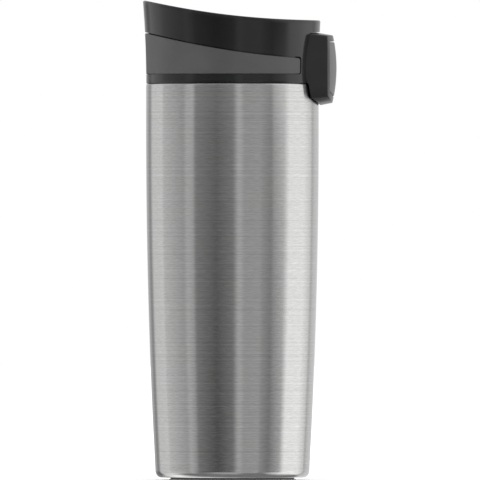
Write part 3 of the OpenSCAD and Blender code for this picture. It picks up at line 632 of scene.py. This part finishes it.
def helix(radius, start_z, pitch, turns, start_angle):
    """A path that winds up round the axis."""
    per_turn = 96
    path = []
    for i in range(int(turns * per_turn) + 1):
        a = start_angle + 2 * math.pi * i / per_turn
        path.append((radius * math.cos(a), radius * math.sin(a), start_z + pitch * i / per_turn))
    return path


def run_out(count, full):
    """Radii along a thread, which swells out of the wall at its start and sinks into it at its end."""
    end_steps = 24
    least = 0.02
    radii = []
    for i in range(count):
        nearest = min(i, count - 1 - i)
        radii.append(max(least, full * math.sin(math.pi / 2 * min(1, nearest / end_steps))))
    return radii


def make_threads():
    """The lid's screw thread, and the ridge rolled into the liner's neck that it runs under."""
    pitch = 5.0
    # Name, body, slot, the wall's radius, the start's height and angle, the turns and the ridge's height
    threads = [
        ("drum_thread", "lid", "lid_plastic", DRUM_R, DRUM_Z + 6.5, 0.0, 1.6, 0.5),
        ("neck_thread", "vessel", "liner_steel", NECK_R, RIM_Z - 16.0, 2.0, 1.3, 0.24),
    ]
    for name, body, slot, wall_r, start_z, start_angle, turns, height in threads:
        path = helix(wall_r, start_z, pitch, turns, start_angle)
        thread = new_object(name, *tube(path, run_out(len(path), height)))
        dress(thread, body, slot)


def make_foot():
    """Rubber disc with raised grip rings on its underside."""
    edge = 0.12
    rim_z = 0.42
    neck_r = FOOT_R - 0.7
    groove = 0.3
    slope = 0.2
    ring_r = 5.0
    ring_w = 1.8
    ring_step = 4.2
    rings_end_r = FOOT_R - 3
    rim_r = FOOT_R - 2.5
    dimple_r = 6.5
    dimple_z = FOOT_TOP_Z - 1
    profile = [(0, groove)]
    while ring_r + ring_w < rings_end_r:
        profile += [(ring_r - slope, groove), (ring_r, 0)]
        profile += [(ring_r + ring_w, 0), (ring_r + ring_w + slope, groove)]
        ring_r += ring_step
    profile += [(rim_r - slope, groove), (rim_r, 0)]
    profile += arc(FOOT_R - edge, edge, edge, -90, 0, 4)
    profile += arc(FOOT_R - edge, rim_z - edge, edge, 0, 90, 4)
    profile += [(neck_r, rim_z), (neck_r, FOOT_TOP_Z)]
    profile += [(dimple_r, FOOT_TOP_Z), (dimple_r, dimple_z), (0, dimple_z)]
    foot = new_object("rubber_foot", *lathe(profile, False))
    dress(foot, "vessel", "foot_rubber", ["foot_pad"])


# The lid

def on_deck(radius, turn, height):
    """A point in the deck's own frame, which slopes down towards the lip."""
    u = radius * math.cos(turn)
    x = u * math.cos(DECK_TILT) - height * math.sin(DECK_TILT)
    z = DECK_Z + u * math.sin(DECK_TILT) + height * math.cos(DECK_TILT)
    return (x, radius * math.sin(turn), z)


def lid_column(turn):
    """The lid shell's section at one angle: from the deck's middle over the rim to its underside."""
    c, s = math.cos(turn), math.sin(turn)
    hub_r = 4
    out_z = RIM_LOW_Z
    well_top = 10.0
    # The rim's height depends on its radius, and the other way round, so both are found step by step
    for _ in range(8):
        out_z = rim_z_at(lid_r_at(out_z) * c)
        x, _y, z = on_deck(WELL_R, turn, well_top)
        well_top += rim_z_at(x) - z
    inside = [(r, 0) for r in spread(hub_r, WELL_R - WELL_ROUND, 10)]
    inside += arc(WELL_R - WELL_ROUND, WELL_ROUND, WELL_ROUND, -90, 0, 10)[1:]
    inside += [(WELL_R, h) for h in spread(WELL_ROUND, well_top - RIM_SOFT, 10)[1:]]
    inside += arc(WELL_R + RIM_SOFT, well_top - RIM_SOFT, RIM_SOFT, 180, 90, 6)[1:]
    out_r = lid_r_at(out_z - RIM_SOFT)
    outside = arc(out_r - RIM_SOFT, out_z - RIM_SOFT, RIM_SOFT, 90, 0, 6)
    outside += [(lid_r_at(z), z) for z in spread(out_z - RIM_SOFT, SKIRT_Z + SKIRT_SOFT, 24)[1:]]
    outside += arc(LID_R - SKIRT_SOFT, SKIRT_Z + SKIRT_SOFT, SKIRT_SOFT, 0, -90, 4)[1:]
    outside += [(BAY_R, SKIRT_Z), (BAY_R, FLANGE_TOP_Z), (LEDGE_R, FLANGE_TOP_Z)]
    for share in (1, 0.66, 0.33):
        r = LEDGE_R * share
        outside.append((r, deck_z_at(r * c) - DECK_DROP))
    return [on_deck(r, turn, h) for r, h in inside] + [(r * c, r * s, z) for r, z in outside]


def oblong(length, width):
    """Outline of a slot with round ends, longer along Y."""
    points = 64
    half = (width - length) / 2
    outline = []
    for i in range(points):
        a = 2 * math.pi * (i + 0.5) / points
        y = length / 2 * math.sin(a)
        outline.append((length / 2 * math.cos(a), y + (half if y > 0 else -half)))
    return outline


def slot_rings(x, length, width, levels):
    """A slot's outline at each level, which is a height and how far the outline is widened there."""
    rings = []
    for z, wider in levels:
        outline = oblong(length + 2 * wider, width + 2 * wider)
        rings.append([(x + px, py, z) for px, py in outline])
    return rings


def slot_solid(x, length, width, levels):
    """A slot-shaped solid along Z."""
    rings = slot_rings(x, length, width, levels)
    return rings_to_mesh([[(x, 0, levels[0][0])]] + rings + [[(x, 0, levels[-1][0])]])


def band_section(turn, low_z, depth, proud, top_gap, squeeze, edge=0.0):
    """Cross-section of the grip band, or of its recess, at one angle round the lid."""
    top_z = band_top_at(lid_r_at(BAND_TOP_Z) * math.cos(turn)) - top_gap - squeeze
    bottom_z = low_z + squeeze
    section = [(lid_r_at(bottom_z) - depth, bottom_z)]
    heights = spread(bottom_z + edge, top_z - edge, 8)
    if edge:
        section += arc(lid_r_at(bottom_z) + proud - edge, bottom_z + edge, edge, -90, 0, 5)
        section += [(lid_r_at(z) + proud, z) for z in heights[1:-1]]
        section += arc(lid_r_at(top_z) + proud - edge, top_z - edge, edge, 0, 90, 5)
    else:
        section += [(lid_r_at(z) + proud, z) for z in heights]
    section += [(lid_r_at(z) - depth, z) for z in reversed(spread(bottom_z, top_z, 8)[1:])]
    c, s = math.cos(turn), math.sin(turn)
    return [(r * c, r * s, z) for r, z in section]


def band_turns(start, corner_r):
    """Angles from one end of the band to the other, with how far its rounded corners draw in there."""
    stop = 2 * math.pi - start
    corner = corner_r / LID_R
    ease = [corner * (1 - math.cos(a)) for a in quarter_turn(8)[:-1]]
    turns = [start + e for e in ease]
    turns += spread(start + corner, stop - corner, 220)
    turns += [stop - e for e in reversed(ease)]
    result = []
    for a in turns:
        inward = max(0, corner_r - min(a - start, stop - a) * LID_R)
        result.append((a, corner_r - math.sqrt(max(0, corner_r ** 2 - inward ** 2))))
    return result


def band_recess():
    """The hollow in the lid's side that takes the band."""
    past_lid = 2
    rings = []
    for a, squeeze in band_turns(BAND_END, BAND_CORNER + BAND_TOP_GAP):
        rings.append(band_section(a, BAND_LOW_Z, BAND_T + BAND_GAP, past_lid, 0, squeeze))
    return capped(rings)


def make_lid_shell():
    """The lid's shell, with the hollows of the band and the housing, and the spout's and vent's mouths."""
    columns = [lid_column(a) for a in full_turn(AROUND)]
    rings = [[(0, 0, DECK_Z)]]
    rings += [list(ring) for ring in zip(*columns)]
    rings.append([(0, 0, DECK_Z - DECK_DROP)])
    shell = new_object("lid_body", *rings_to_mesh(rings))
    cut(shell, *band_recess())
    cut(shell, *pod_recess())
    hole_r = TUBE_R + 2 * SEAT_GAP
    hole_x = LEDGE_R - 6
    cut(shell, *along_x([(hole_x, hole_r), (FACE_R, hole_r)]))
    # Place, length and width, and the chamfer's heights against the deck with its widths there
    mouths = [
        (SPOUT_X, SPOUT_L, SPOUT_W, [(-8, 0), (-1.3, 0), (-0.2, 0.6), (2, 2.4)]),
        (VENT_X, 2 * VENT_R, 2 * VENT_R, [(-8, 0), (-0.7, 0), (-0.1, 0.4), (2, 1.4)]),
    ]
    for x, length, width, chamfer in mouths:
        cut(shell, *slot_solid(x, length, width, [(deck_z_at(x) + h, wider) for h, wider in chamfer]))
    dress(shell, "lid", "lid_plastic", ["lid_shell"], sharp=30)


def make_ducts():
    """The spout's and the vent's ducts, from the deck's underside to the drum's floor."""
    low_z = DRUM_FLOOR_Z + SEAT_GAP
    ducts = [("spout_duct", SPOUT_X, SPOUT_L, SPOUT_W), ("vent_duct", VENT_X, 2 * VENT_R, 2 * VENT_R)]
    for name, x, length, width in ducts:
        high_z = deck_z_at(x) - DECK_T / 2
        levels = [(low_z, 0), (high_z, 0), (high_z, DUCT_WALL), (low_z, DUCT_WALL)]
        duct = new_object(name, *rings_to_mesh(slot_rings(x, length, width, levels), closed=True))
        dress(duct, "lid", "lid_plastic")


def make_grip_band():
    """The soft grey band, with rounded edges and corners."""
    low_z = BAND_LOW_Z + BAND_LOW_GAP
    rings = []
    for a, squeeze in band_turns(BAND_END + BAND_END_GAP, BAND_CORNER):
        rings.append(band_section(a, low_z, BAND_T, 0, BAND_TOP_GAP, squeeze, BAND_EDGE))
    band = new_object("soft_band", *capped(rings))
    dress(band, "lid", "band_plastic", ["grip_band"])


# The button

def pod_quarter(half_w, half_h, side_r, corner_r, end_r):
    """A quarter of the housing's outline: arcs of its side, its corner and its upper or lower edge."""
    side_y = half_w - side_r
    end_z = half_h - end_r
    apart = math.hypot(side_y, end_z)
    to_side = side_r - corner_r
    to_end = end_r - corner_r
    foot = (to_side ** 2 - to_end ** 2 + apart ** 2) / (2 * apart)
    aside = math.sqrt(to_side ** 2 - foot ** 2)
    along = (-side_y / apart, end_z / apart)
    corner_y = side_y + foot * along[0] - aside * along[1]
    corner_z = foot * along[1] + aside * along[0]
    side_a = math.degrees(math.atan2(corner_z, corner_y - side_y))
    end_a = math.degrees(math.atan2(corner_z - end_z, corner_y))
    quarter = arc(side_y, 0, side_r, 0, side_a, 60)
    quarter += arc(corner_y, corner_z, corner_r, side_a, end_a, 30)[1:]
    return quarter + arc(0, end_z, end_r, end_a, 90, 60)[1:]


def pod_outline(half_w, half_h, corners):
    """Outline of the button's housing, seen along X, at even steps."""
    top = pod_quarter(half_w, half_h, POD_SIDE_R, corners[0], POD_TOP_R)
    low = pod_quarter(half_w, half_h, POD_LOW_SIDE_R, corners[1], POD_LOW_R)
    dense = top + [(-y, dz) for y, dz in reversed(top[1:-1])]
    dense += [(-y, -dz) for y, dz in low]
    dense += [(y, -dz) for y, dz in reversed(low[1:-1])]
    count = len(dense)
    lengths = [0.0]
    for i in range(count):
        lengths.append(lengths[-1] + math.dist(dense[i], dense[(i + 1) % count]))
    outline = []
    at = 0
    for i in range(POD_POINTS):
        wanted = lengths[-1] * i / POD_POINTS
        while lengths[at + 1] < wanted:
            at += 1
        share = (wanted - lengths[at]) / (lengths[at + 1] - lengths[at])
        a, b = dense[at], dense[(at + 1) % count]
        outline.append((mix(a[0], b[0], share), mix(a[1], b[1], share)))
    return outline


def pod_ring(inset):
    """The housing's outline, drawn in by an inset."""
    return pod_outline(POD_HALF_W - inset, POD_HALF_H - inset, (POD_CORNER_R, POD_LOW_CORNER_R))


def cap_ring(wider):
    """The face plate's outline, widened."""
    return pod_outline(CAP_HALF_W + wider, CAP_HALF_H + wider, (CAP_CORNER_R + wider, CAP_CORNER_R + wider))


def on_cylinder(radius, y):
    """X of a point on a cylinder about the mug's axis."""
    return math.sqrt(radius * radius - y * y)


def face_x(y, dz):
    """The button's face: round the mug's axis, with an upright curve that fades towards its sides."""
    left = 1 - FACE_FADE * (y / POD_HALF_W) ** 2
    return on_cylinder(FACE_R - arc_rise(FACE_ARC_R, dz - FACE_UP) * left, y)


def back_x(y, z):
    """Back of the housing: let into the lid, and clear of the steel below it."""
    share = share_of(z, SKIRT_Z - POD_STEP, SKIRT_Z + POD_STEP)
    return on_cylinder(mix(OVERHANG_R, LET_IN_R + SEAT_GAP, share), y)


def face_ring(outline, behind=0.0):
    """An outline that follows the button's face, or a surface behind it."""
    return [(face_x(y, dz) - behind, y, POD_Z + dz) for y, dz in outline]


def round_ring(outline, radius):
    """An outline on a cylinder about the mug's axis."""
    return [(on_cylinder(radius, y), y, POD_Z + dz) for y, dz in outline]


def shrunk(outline, share):
    """An outline at a share of its size."""
    return [(y * share, dz * share) for y, dz in outline]


def circle_ring(x, radius, points=POD_POINTS):
    """A ring about the push rod's axis."""
    return [(x, radius * math.cos(a), ROD_Z + radius * math.sin(a)) for a in full_turn(points)]


def bore_ring(radius, rod_r):
    """A ring about the push rod's axis, on a cylinder about the mug's axis."""
    return [(on_cylinder(radius, y), y, z) for _x, y, z in circle_ring(0, rod_r)]


def along_x(stations):
    """A turned solid about the push rod's axis, from (x, radius) stations."""
    rings = [[(stations[0][0], 0, ROD_Z)]]
    rings += [circle_ring(x, r, ROD_POINTS) for x, r in stations]
    rings.append([(stations[-1][0], 0, ROD_Z)])
    return rings_to_mesh(rings)


def pod_recess():
    """The hollow in the lid's side that takes the housing, with a groove that opens towards its top."""
    outline = []
    for (y, dz), (wide_y, wide_dz) in zip(pod_ring(GROOVE_INSET), pod_ring(-GROOVE)):
        share = share_of(dz, GROOVE_FROM, GROOVE_TO)
        outline.append((mix(y, wide_y, share), mix(dz, wide_dz, share)))
    rings = [[(LET_IN_R, 0, POD_Z)]]
    rings += [round_ring(shrunk(outline, share), LET_IN_R) for share in (0.25, 0.5, 0.75, 1.0)]
    rings.append([(FACE_R, y, POD_Z + dz) for y, dz in outline])
    rings.append([(FACE_R, 0, POD_Z)])
    return rings_to_mesh(rings)


def make_housing():
    """The moulded housing: a drafted block with a rounded front, the plate's pocket and the guide tube."""
    outer = pod_ring(0)
    rings = [[(back_x(y, POD_Z + dz), y, POD_Z + dz) for y, dz in pod_ring(POD_BACK_ROUND)]]
    back_edge = [max(on_cylinder(LID_R, y), back_x(y, POD_Z + dz)) + POD_PROUD for y, dz in outer]
    # The rear edge is rounded under the overhang, and flares to meet the lid above it
    on_lid = [share_of(POD_Z + dz, SKIRT_Z, SKIRT_Z + POD_FLARE_H) for _y, dz in outer]
    edge_steps = 6
    for k, a in enumerate(quarter_turn(edge_steps)[:-1]):
        rounded = pod_ring(POD_BACK_ROUND * (1 - math.sin(a)))
        flared = pod_ring(-POD_FLARE * (1 - k / edge_steps) ** POD_FLARE_BEND)
        ring = []
        for x, share, (ry, rz), (fy, fz) in zip(back_edge, on_lid, rounded, flared):
            ahead = mix(POD_BACK_ROUND * (1 - math.cos(a)), POD_FLARE_L * k / edge_steps, share)
            ring.append((x + ahead, mix(ry, fy, share), POD_Z + mix(rz, fz, share)))
        rings.append(ring)
    # The drafted side
    for lean in spread(0, 1, 5)[:-1]:
        ring = []
        for x, share, (y, dz) in zip(back_edge, on_lid, pod_ring(POD_DRAFT * lean)):
            start = x + mix(POD_BACK_ROUND, POD_FLARE_L, share)
            ring.append((mix(start, face_x(y, dz) - POD_ROUND, lean), y, POD_Z + dz))
        rings.append(ring)
    # The rounded front edge, and the rounded mouth of the plate's pocket
    for a in quarter_turn(8):
        outline = pod_ring(POD_DRAFT + POD_ROUND * (1 - math.cos(a)))
        rings.append(face_ring(outline, POD_ROUND * (1 - math.sin(a))))
    mouth = 0.3
    for a in quarter_turn(4):
        outline = cap_ring(CAP_GAP + mouth * (1 - math.sin(a)))
        rings.append(face_ring(outline, mouth * (1 - math.cos(a))))
    # The pocket's floor, the spring's bore, the rod's hole and the outside of the guide tube
    rings.append(round_ring(cap_ring(CAP_GAP), POD_FLOOR_R))
    rings.append(bore_ring(POD_FLOOR_R, BORE_R))
    hole_r = ROD_R + ROD_GAP
    stations = [(SPRING_X, BORE_R), (SPRING_X, hole_r), (TUBE_X, hole_r)]
    stations += [(TUBE_X, TUBE_R - TUBE_CHAMFER), (TUBE_X + TUBE_CHAMFER, TUBE_R)]
    rings += [circle_ring(x, r) for x, r in stations]
    rings.append([(back_x(y, z), y, z) for _x, y, z in circle_ring(0, TUBE_R)])
    housing = new_object("pod_housing", *rings_to_mesh(rings, closed=True))
    dress(housing, "lid", "pod_plastic", ["button_housing"])


def make_face_plate():
    """The button's face plate: a barrel-shaped pad with rounded edges, and the boss that takes the rod."""
    back_r = FACE_R - CAP_T
    socket_x = back_r - SOCKET_FLOOR
    rings = [[(socket_x, 0, ROD_Z)]]
    stations = [(socket_x, SOCKET_R), (CAP_BOSS_X, SOCKET_R), (CAP_BOSS_X, CAP_BOSS_R)]
    rings += [circle_ring(x, r) for x, r in stations]
    rings.append(bore_ring(back_r, CAP_BOSS_R))
    rings.append(round_ring(cap_ring(0), back_r))
    for a in quarter_turn(6):
        rings.append(face_ring(cap_ring(CAP_EDGE * (math.cos(a) - 1)), CAP_EDGE * (1 - math.sin(a))))
    for share in (0.9, 0.75, 0.6, 0.45, 0.3, 0.15):
        rings.append(face_ring(shrunk(cap_ring(-CAP_EDGE), share)))
    rings.append([(face_x(0, 0), 0, POD_Z)])
    plate = new_object("face_plate", *rings_to_mesh(rings))
    dress(plate, "button", "button_plastic", ["button_cap"])


# Soft seals, plugs and springs

def make_gasket():
    """Silicone ring with two soft lips that wipe the neck."""
    low, high = node_box("lid_gasket")
    in_r = DRUM_R - 1.1 + SEAT_GAP
    root_r = DRUM_R - 0.1
    lips = 2
    fullness = 0.8
    profile = [(in_r, low.z)]
    for share in spread(0, 1, 40):
        swell = (1 - math.cos(2 * math.pi * lips * share)) / 2
        profile.append((mix(root_r, high.x, swell ** fullness), mix(low.z, high.z, share)))
    profile.append((in_r, high.z))
    gasket = new_object("silicone_gasket", *lathe(profile, True))
    dress(gasket, "lid_seal", "silicone", ["lid_gasket"])


def make_stem_seal():
    """The round ring seal of the valve's stem."""
    low, high = node_box("stem_seal")
    thick = (high.z - low.z) / 2
    profile = arc(high.x - thick, low.z + thick, thick, 0, 360, 24)[:-1]
    seal = new_object("stem_o_ring", *lathe(profile, True, 96))
    dress(seal, "lid", "silicone", ["stem_seal"])


def make_plug(name, node, x, length, width):
    """A soft plug with a rounded edge. Returns the heights of its pegs' lower ends and of the arm's top."""
    low, high = node_box(node)
    arm_top = high.z - 3.4
    tuck = 0.2
    tuck_h = 0.3
    edge = 0.6
    levels = [(arm_top + SEAT_GAP, -tuck), (arm_top + tuck_h, 0), (high.z - edge, 0)]
    for a in quarter_turn(5)[1:]:
        levels.append((high.z - edge + edge * math.sin(a), edge * (math.cos(a) - 1)))
    plug = new_object(name, *slot_solid(x, length, width, levels))
    dress(plug, "valve", "silicone", [node])
    return low.z, arm_top


def make_plugs():
    """The plugs of the spout and the vent, with the pegs that hold them on the arm."""
    lap = 1.6
    low_z, arm_top = make_plug("spout_stopper", "spout_plug", SPOUT_X, SPOUT_L + 2 * lap, SPOUT_W + 2 * lap)
    make_plug("vent_stopper", "vent_plug", VENT_X, 2 * (VENT_R + lap), 2 * (VENT_R + lap))
    peg_r = 1.5
    chamfer = 0.4
    peg_top = arm_top + 0.6
    profile = [(0, low_z), (peg_r - chamfer, low_z), (peg_r, low_z + chamfer), (peg_r, peg_top), (0, peg_top)]
    verts, faces = lathe(profile, False, 48)
    pegs = [
        ("spout_peg_left", SPOUT_X, -SPOUT_W / 4), ("spout_peg_right", SPOUT_X, SPOUT_W / 4),
        ("vent_peg", VENT_X, 0),
    ]
    for name, x, y in pegs:
        peg = new_object(name, [(vx + x, vy + y, vz) for vx, vy, vz in verts], faces)
        dress(peg, "valve", "silicone")


def coil(length, turns):
    """A compression spring along Z, with a closed coil at each end."""
    per_turn = 40
    closed_turns = 0.8
    closed_pitch = 0.62
    steps = turns * per_turn
    weights = []
    for i in range(steps):
        near = min(i, steps - 1 - i)
        weights.append(closed_pitch if near < closed_turns * per_turn else 1.0)
    total = sum(weights)
    z = WIRE_R
    path = []
    for i in range(steps + 1):
        a = 2 * math.pi * i / per_turn
        path.append((SPRING_R * math.cos(a), SPRING_R * math.sin(a), z))
        if i < steps:
            z += (length - 2 * WIRE_R) * weights[i] / total
    return tube(path, [WIRE_R] * len(path))


def make_springs():
    """The return springs of the button and the valve."""
    verts, faces = coil(BUTTON_SPRING_L - 2 * SEAT_GAP, 6)
    start_x = SPRING_X + SEAT_GAP
    spring = new_object("button_coil", [(start_x + z, y, ROD_Z - x) for x, y, z in verts], faces)
    dress(spring, "lid", "spring_steel", ["button_spring"])
    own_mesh(spring)
    low, high = node_box("valve_spring")
    length = high.z - low.z
    verts, faces = coil(length, 5)
    spring = new_object("valve_coil", [(x, y, low.z + z) for x, y, z in verts], faces)
    dress(spring, "lid", "spring_steel", ["valve_spring"])
    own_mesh(spring)


make_outer_shell()
make_liner()
make_threads()
make_foot()
make_lid_shell()
make_ducts()
make_grip_band()
make_housing()
make_face_plate()
make_gasket()
make_stem_seal()
make_plugs()
make_springs()


# Studio: soft boxes and flags all round, as the brushed steel shows them in the photograph

# Panel: both ends in degrees from the camera towards the button, their light, and its share at the foot
PANELS = [
    (-180, -156, 0.70, 0.60, 0.45, 0.38), (-151, -144, 0.46, 0.43, 0.35, 0.42),
    (-136, -109.5, 0.78, 0.82, 0.91, 0.98), (-106.5, -70, 0.60, 0.39, 1.25, 1.25),
    (-64, -55, 0.55, 0.63, 1.06, 0.50), (-51, -24, 0.31, 0.27, 0.70, 0.03),
    (-22, 1, 0.255, 0.31, 0.00, 0.52), (8, 12, 0.60, 0.52, 0.80, 1.00),
    (16, 38, 0.40, 0.42, 1.12, 1.12), (42, 54, 0.42, 0.38, 0.80, 0.40),
    (58, 74, 0.64, 0.87, 0.15, 0.35), (83, 112, 1.05, 1.06, 1.20, 1.22),
    (131, 134.5, 0.83, 0.60, 0.98, 0.94), (138, 144, 0.60, 0.70, 1.00, 1.04),
    (150, 180, 0.70, 0.66, 1.04, 1.12),
]
PANEL_FOOT = ("Z", 0.05, -0.13)

# Card: its light, and its edges along axes of direction, each with where the card begins and is whole
CARDS = {
    "overhead": (0.85, [("Z", 0.8, 0.95)]),
    "below": (0.235, [("Z", -0.46, -0.54)]),
    "table_edge": (0.5, [("Z", -0.3, -0.4), ("Y", -0.55, -0.82), ("X", 0.3, 0.1)]),
    "left": (1.5, [("X", 0.1, -0.15), ("Y", 0.0, 0.38), ("Z", -0.32, -0.72), ("Z", -0.98, -0.68)]),
    "back": (0.9, [("X", 0.05, 0.2), ("Y", 0.84, 0.96), ("Z", -0.22, -0.32)]),
    "right": (1.25, [("X", 0.64, 0.95), ("Z", -0.25, -0.42)]),
}


def make_world():
    """White to the camera, and the studio's panels and cards to everything else."""
    world = bpy.data.worlds.new("studio")
    world.use_nodes = True
    bpy.context.scene.world = world
    tree = world.node_tree
    nodes, links = tree.nodes, tree.links
    nodes.clear()
    split = nodes.new("ShaderNodeSeparateXYZ")
    links.new(nodes.new("ShaderNodeTexCoord").outputs["Generated"], split.inputs["Vector"])
    to_camera = calculate(tree, "MULTIPLY", split.outputs["Y"], -1.0)
    turn = calculate(tree, "ARCTAN2", split.outputs["X"], to_camera)
    round_share = map_range(tree, turn, -math.pi, math.pi)

    def ramp_of(lights):
        """A colour ramp round the horizon, with two stops per panel."""
        ramp = nodes.new("ShaderNodeValToRGB")
        elements = ramp.color_ramp.elements
        ends = [angle for panel in PANELS for angle in panel[:2]]
        while len(elements) < len(ends):
            elements.new(0.5)
        for element, angle in zip(elements, ends):
            element.position = (angle + 180) / 360
        for element, light in zip(elements, lights):
            element.color = (light, light, light, 1)
        links.new(round_share, ramp.inputs["Fac"])
        return ramp.outputs["Color"]

    def part_way(axis, start, stop):
        """From 0 to 1 between two places on the sphere of directions."""
        return map_range(tree, split.outputs[axis], start, stop)

    def blend(amount, a, b):
        """From a to b, each a colour's socket or the float of a grey."""
        node = nodes.new("ShaderNodeMix")
        node.data_type = "RGBA"
        links.new(amount, node.inputs["Factor"])
        colour_in = [s for s in node.inputs if s.type == "RGBA"]
        for socket, value in zip(colour_in, (a, b)):
            if isinstance(value, float):
                socket.default_value = (value, value, value, 1)
            else:
                links.new(value, socket)
        return [s for s in node.outputs if s.type == "RGBA"][0]

    upper = ramp_of([light for panel in PANELS for light in panel[2:4]])
    lower = ramp_of([panel[k] * panel[k + 2] for panel in PANELS for k in (2, 3)])
    light = blend(part_way(*PANEL_FOOT), upper, lower)
    for level, edges in CARDS.values():
        shown = level
        for edge in edges:
            shown = blend(part_way(*edge), light, shown)
        light = shown
    studio = nodes.new("ShaderNodeBackground")
    links.new(light, studio.inputs["Color"])
    white = nodes.new("ShaderNodeBackground")
    white.inputs["Color"].default_value = (1, 1, 1, 1)
    choose = nodes.new("ShaderNodeMixShader")
    links.new(nodes.new("ShaderNodeLightPath").outputs["Is Camera Ray"], choose.inputs["Fac"])
    links.new(studio.outputs["Background"], choose.inputs[1])
    links.new(white.outputs["Background"], choose.inputs[2])
    out = nodes.new("ShaderNodeOutputWorld")
    links.new(choose.outputs["Shader"], out.inputs["Surface"])


def make_floor():
    """A wide pale floor that keeps the mug's shadow. Far off, a glow makes it white to the camera."""
    glow_from, glow_to = 0.3, 2.0
    near_glow, far_glow = 0.1, 0.6
    reach = 9000
    material = new_material("floor", (0.92, 0.92, 0.92), 0.9, specular=0.0)
    tree = material.node_tree
    nodes, links = tree.nodes, tree.links
    away = nodes.new("ShaderNodeVectorMath")
    away.operation = "LENGTH"
    links.new(own_place(tree), away.inputs[0])
    fade = map_range(tree, away.outputs["Value"], glow_from, glow_to, near_glow, far_glow)
    camera_ray = nodes.new("ShaderNodeLightPath").outputs["Is Camera Ray"]
    glow = nodes.new("ShaderNodeEmission")
    links.new(calculate(tree, "MULTIPLY", camera_ray, fade), glow.inputs["Strength"])
    both = nodes.new("ShaderNodeAddShader")
    links.new(nodes["Principled BSDF"].outputs["BSDF"], both.inputs[0])
    links.new(glow.outputs["Emission"], both.inputs[1])
    links.new(both.outputs["Shader"], nodes["Material Output"].inputs["Surface"])
    ring = [(reach * math.cos(a), reach * math.sin(a), 0) for a in full_turn(64)]
    floor = new_object("floor", ring, [tuple(range(len(ring)))])
    floor.data.materials.append(material)
    floor.visible_glossy = False


def make_lamp(name, place, power, size):
    """A square lamp that faces the mug's middle, and that gloss doesn't show."""
    mug_middle = Vector((0, 0, 0.1))
    data = bpy.data.lights.new(name, "AREA")
    data.energy = power
    data.size = size
    lamp = bpy.data.objects.new(name, data)
    bpy.context.scene.collection.objects.link(lamp)
    lamp.location = place
    lamp.rotation_euler = (mug_middle - Vector(place)).to_track_quat("-Z", "Y").to_euler()
    lamp.visible_glossy = False


def make_camera():
    """Square on to the mug's side, from far away, framed as the photograph is."""
    lens = 1700
    sensor = 36
    frame_height = 0.212
    beside_axis = 0.003357
    data = bpy.data.cameras.new("camera")
    data.lens = lens
    data.sensor_width = sensor
    data.clip_end = 100
    camera = bpy.data.objects.new("camera", data)
    bpy.context.scene.collection.objects.link(camera)
    camera.location = (beside_axis, -frame_height * lens / sensor, frame_height / 2)
    camera.rotation_euler = (math.pi / 2, 0, 0)
    bpy.context.scene.camera = camera


make_world()
make_floor()
make_lamp("front_lamp", (-0.5, -1.6, 1.2), 10, 1.2)
make_lamp("back_lamp", (0.6, 1.6, 1.2), 9, 1.2)
make_lamp("top_lamp", (0.0, 0.0, 2.2), 16, 2.0)
make_camera()
bpy.context.scene.view_settings.view_transform = "Standard"
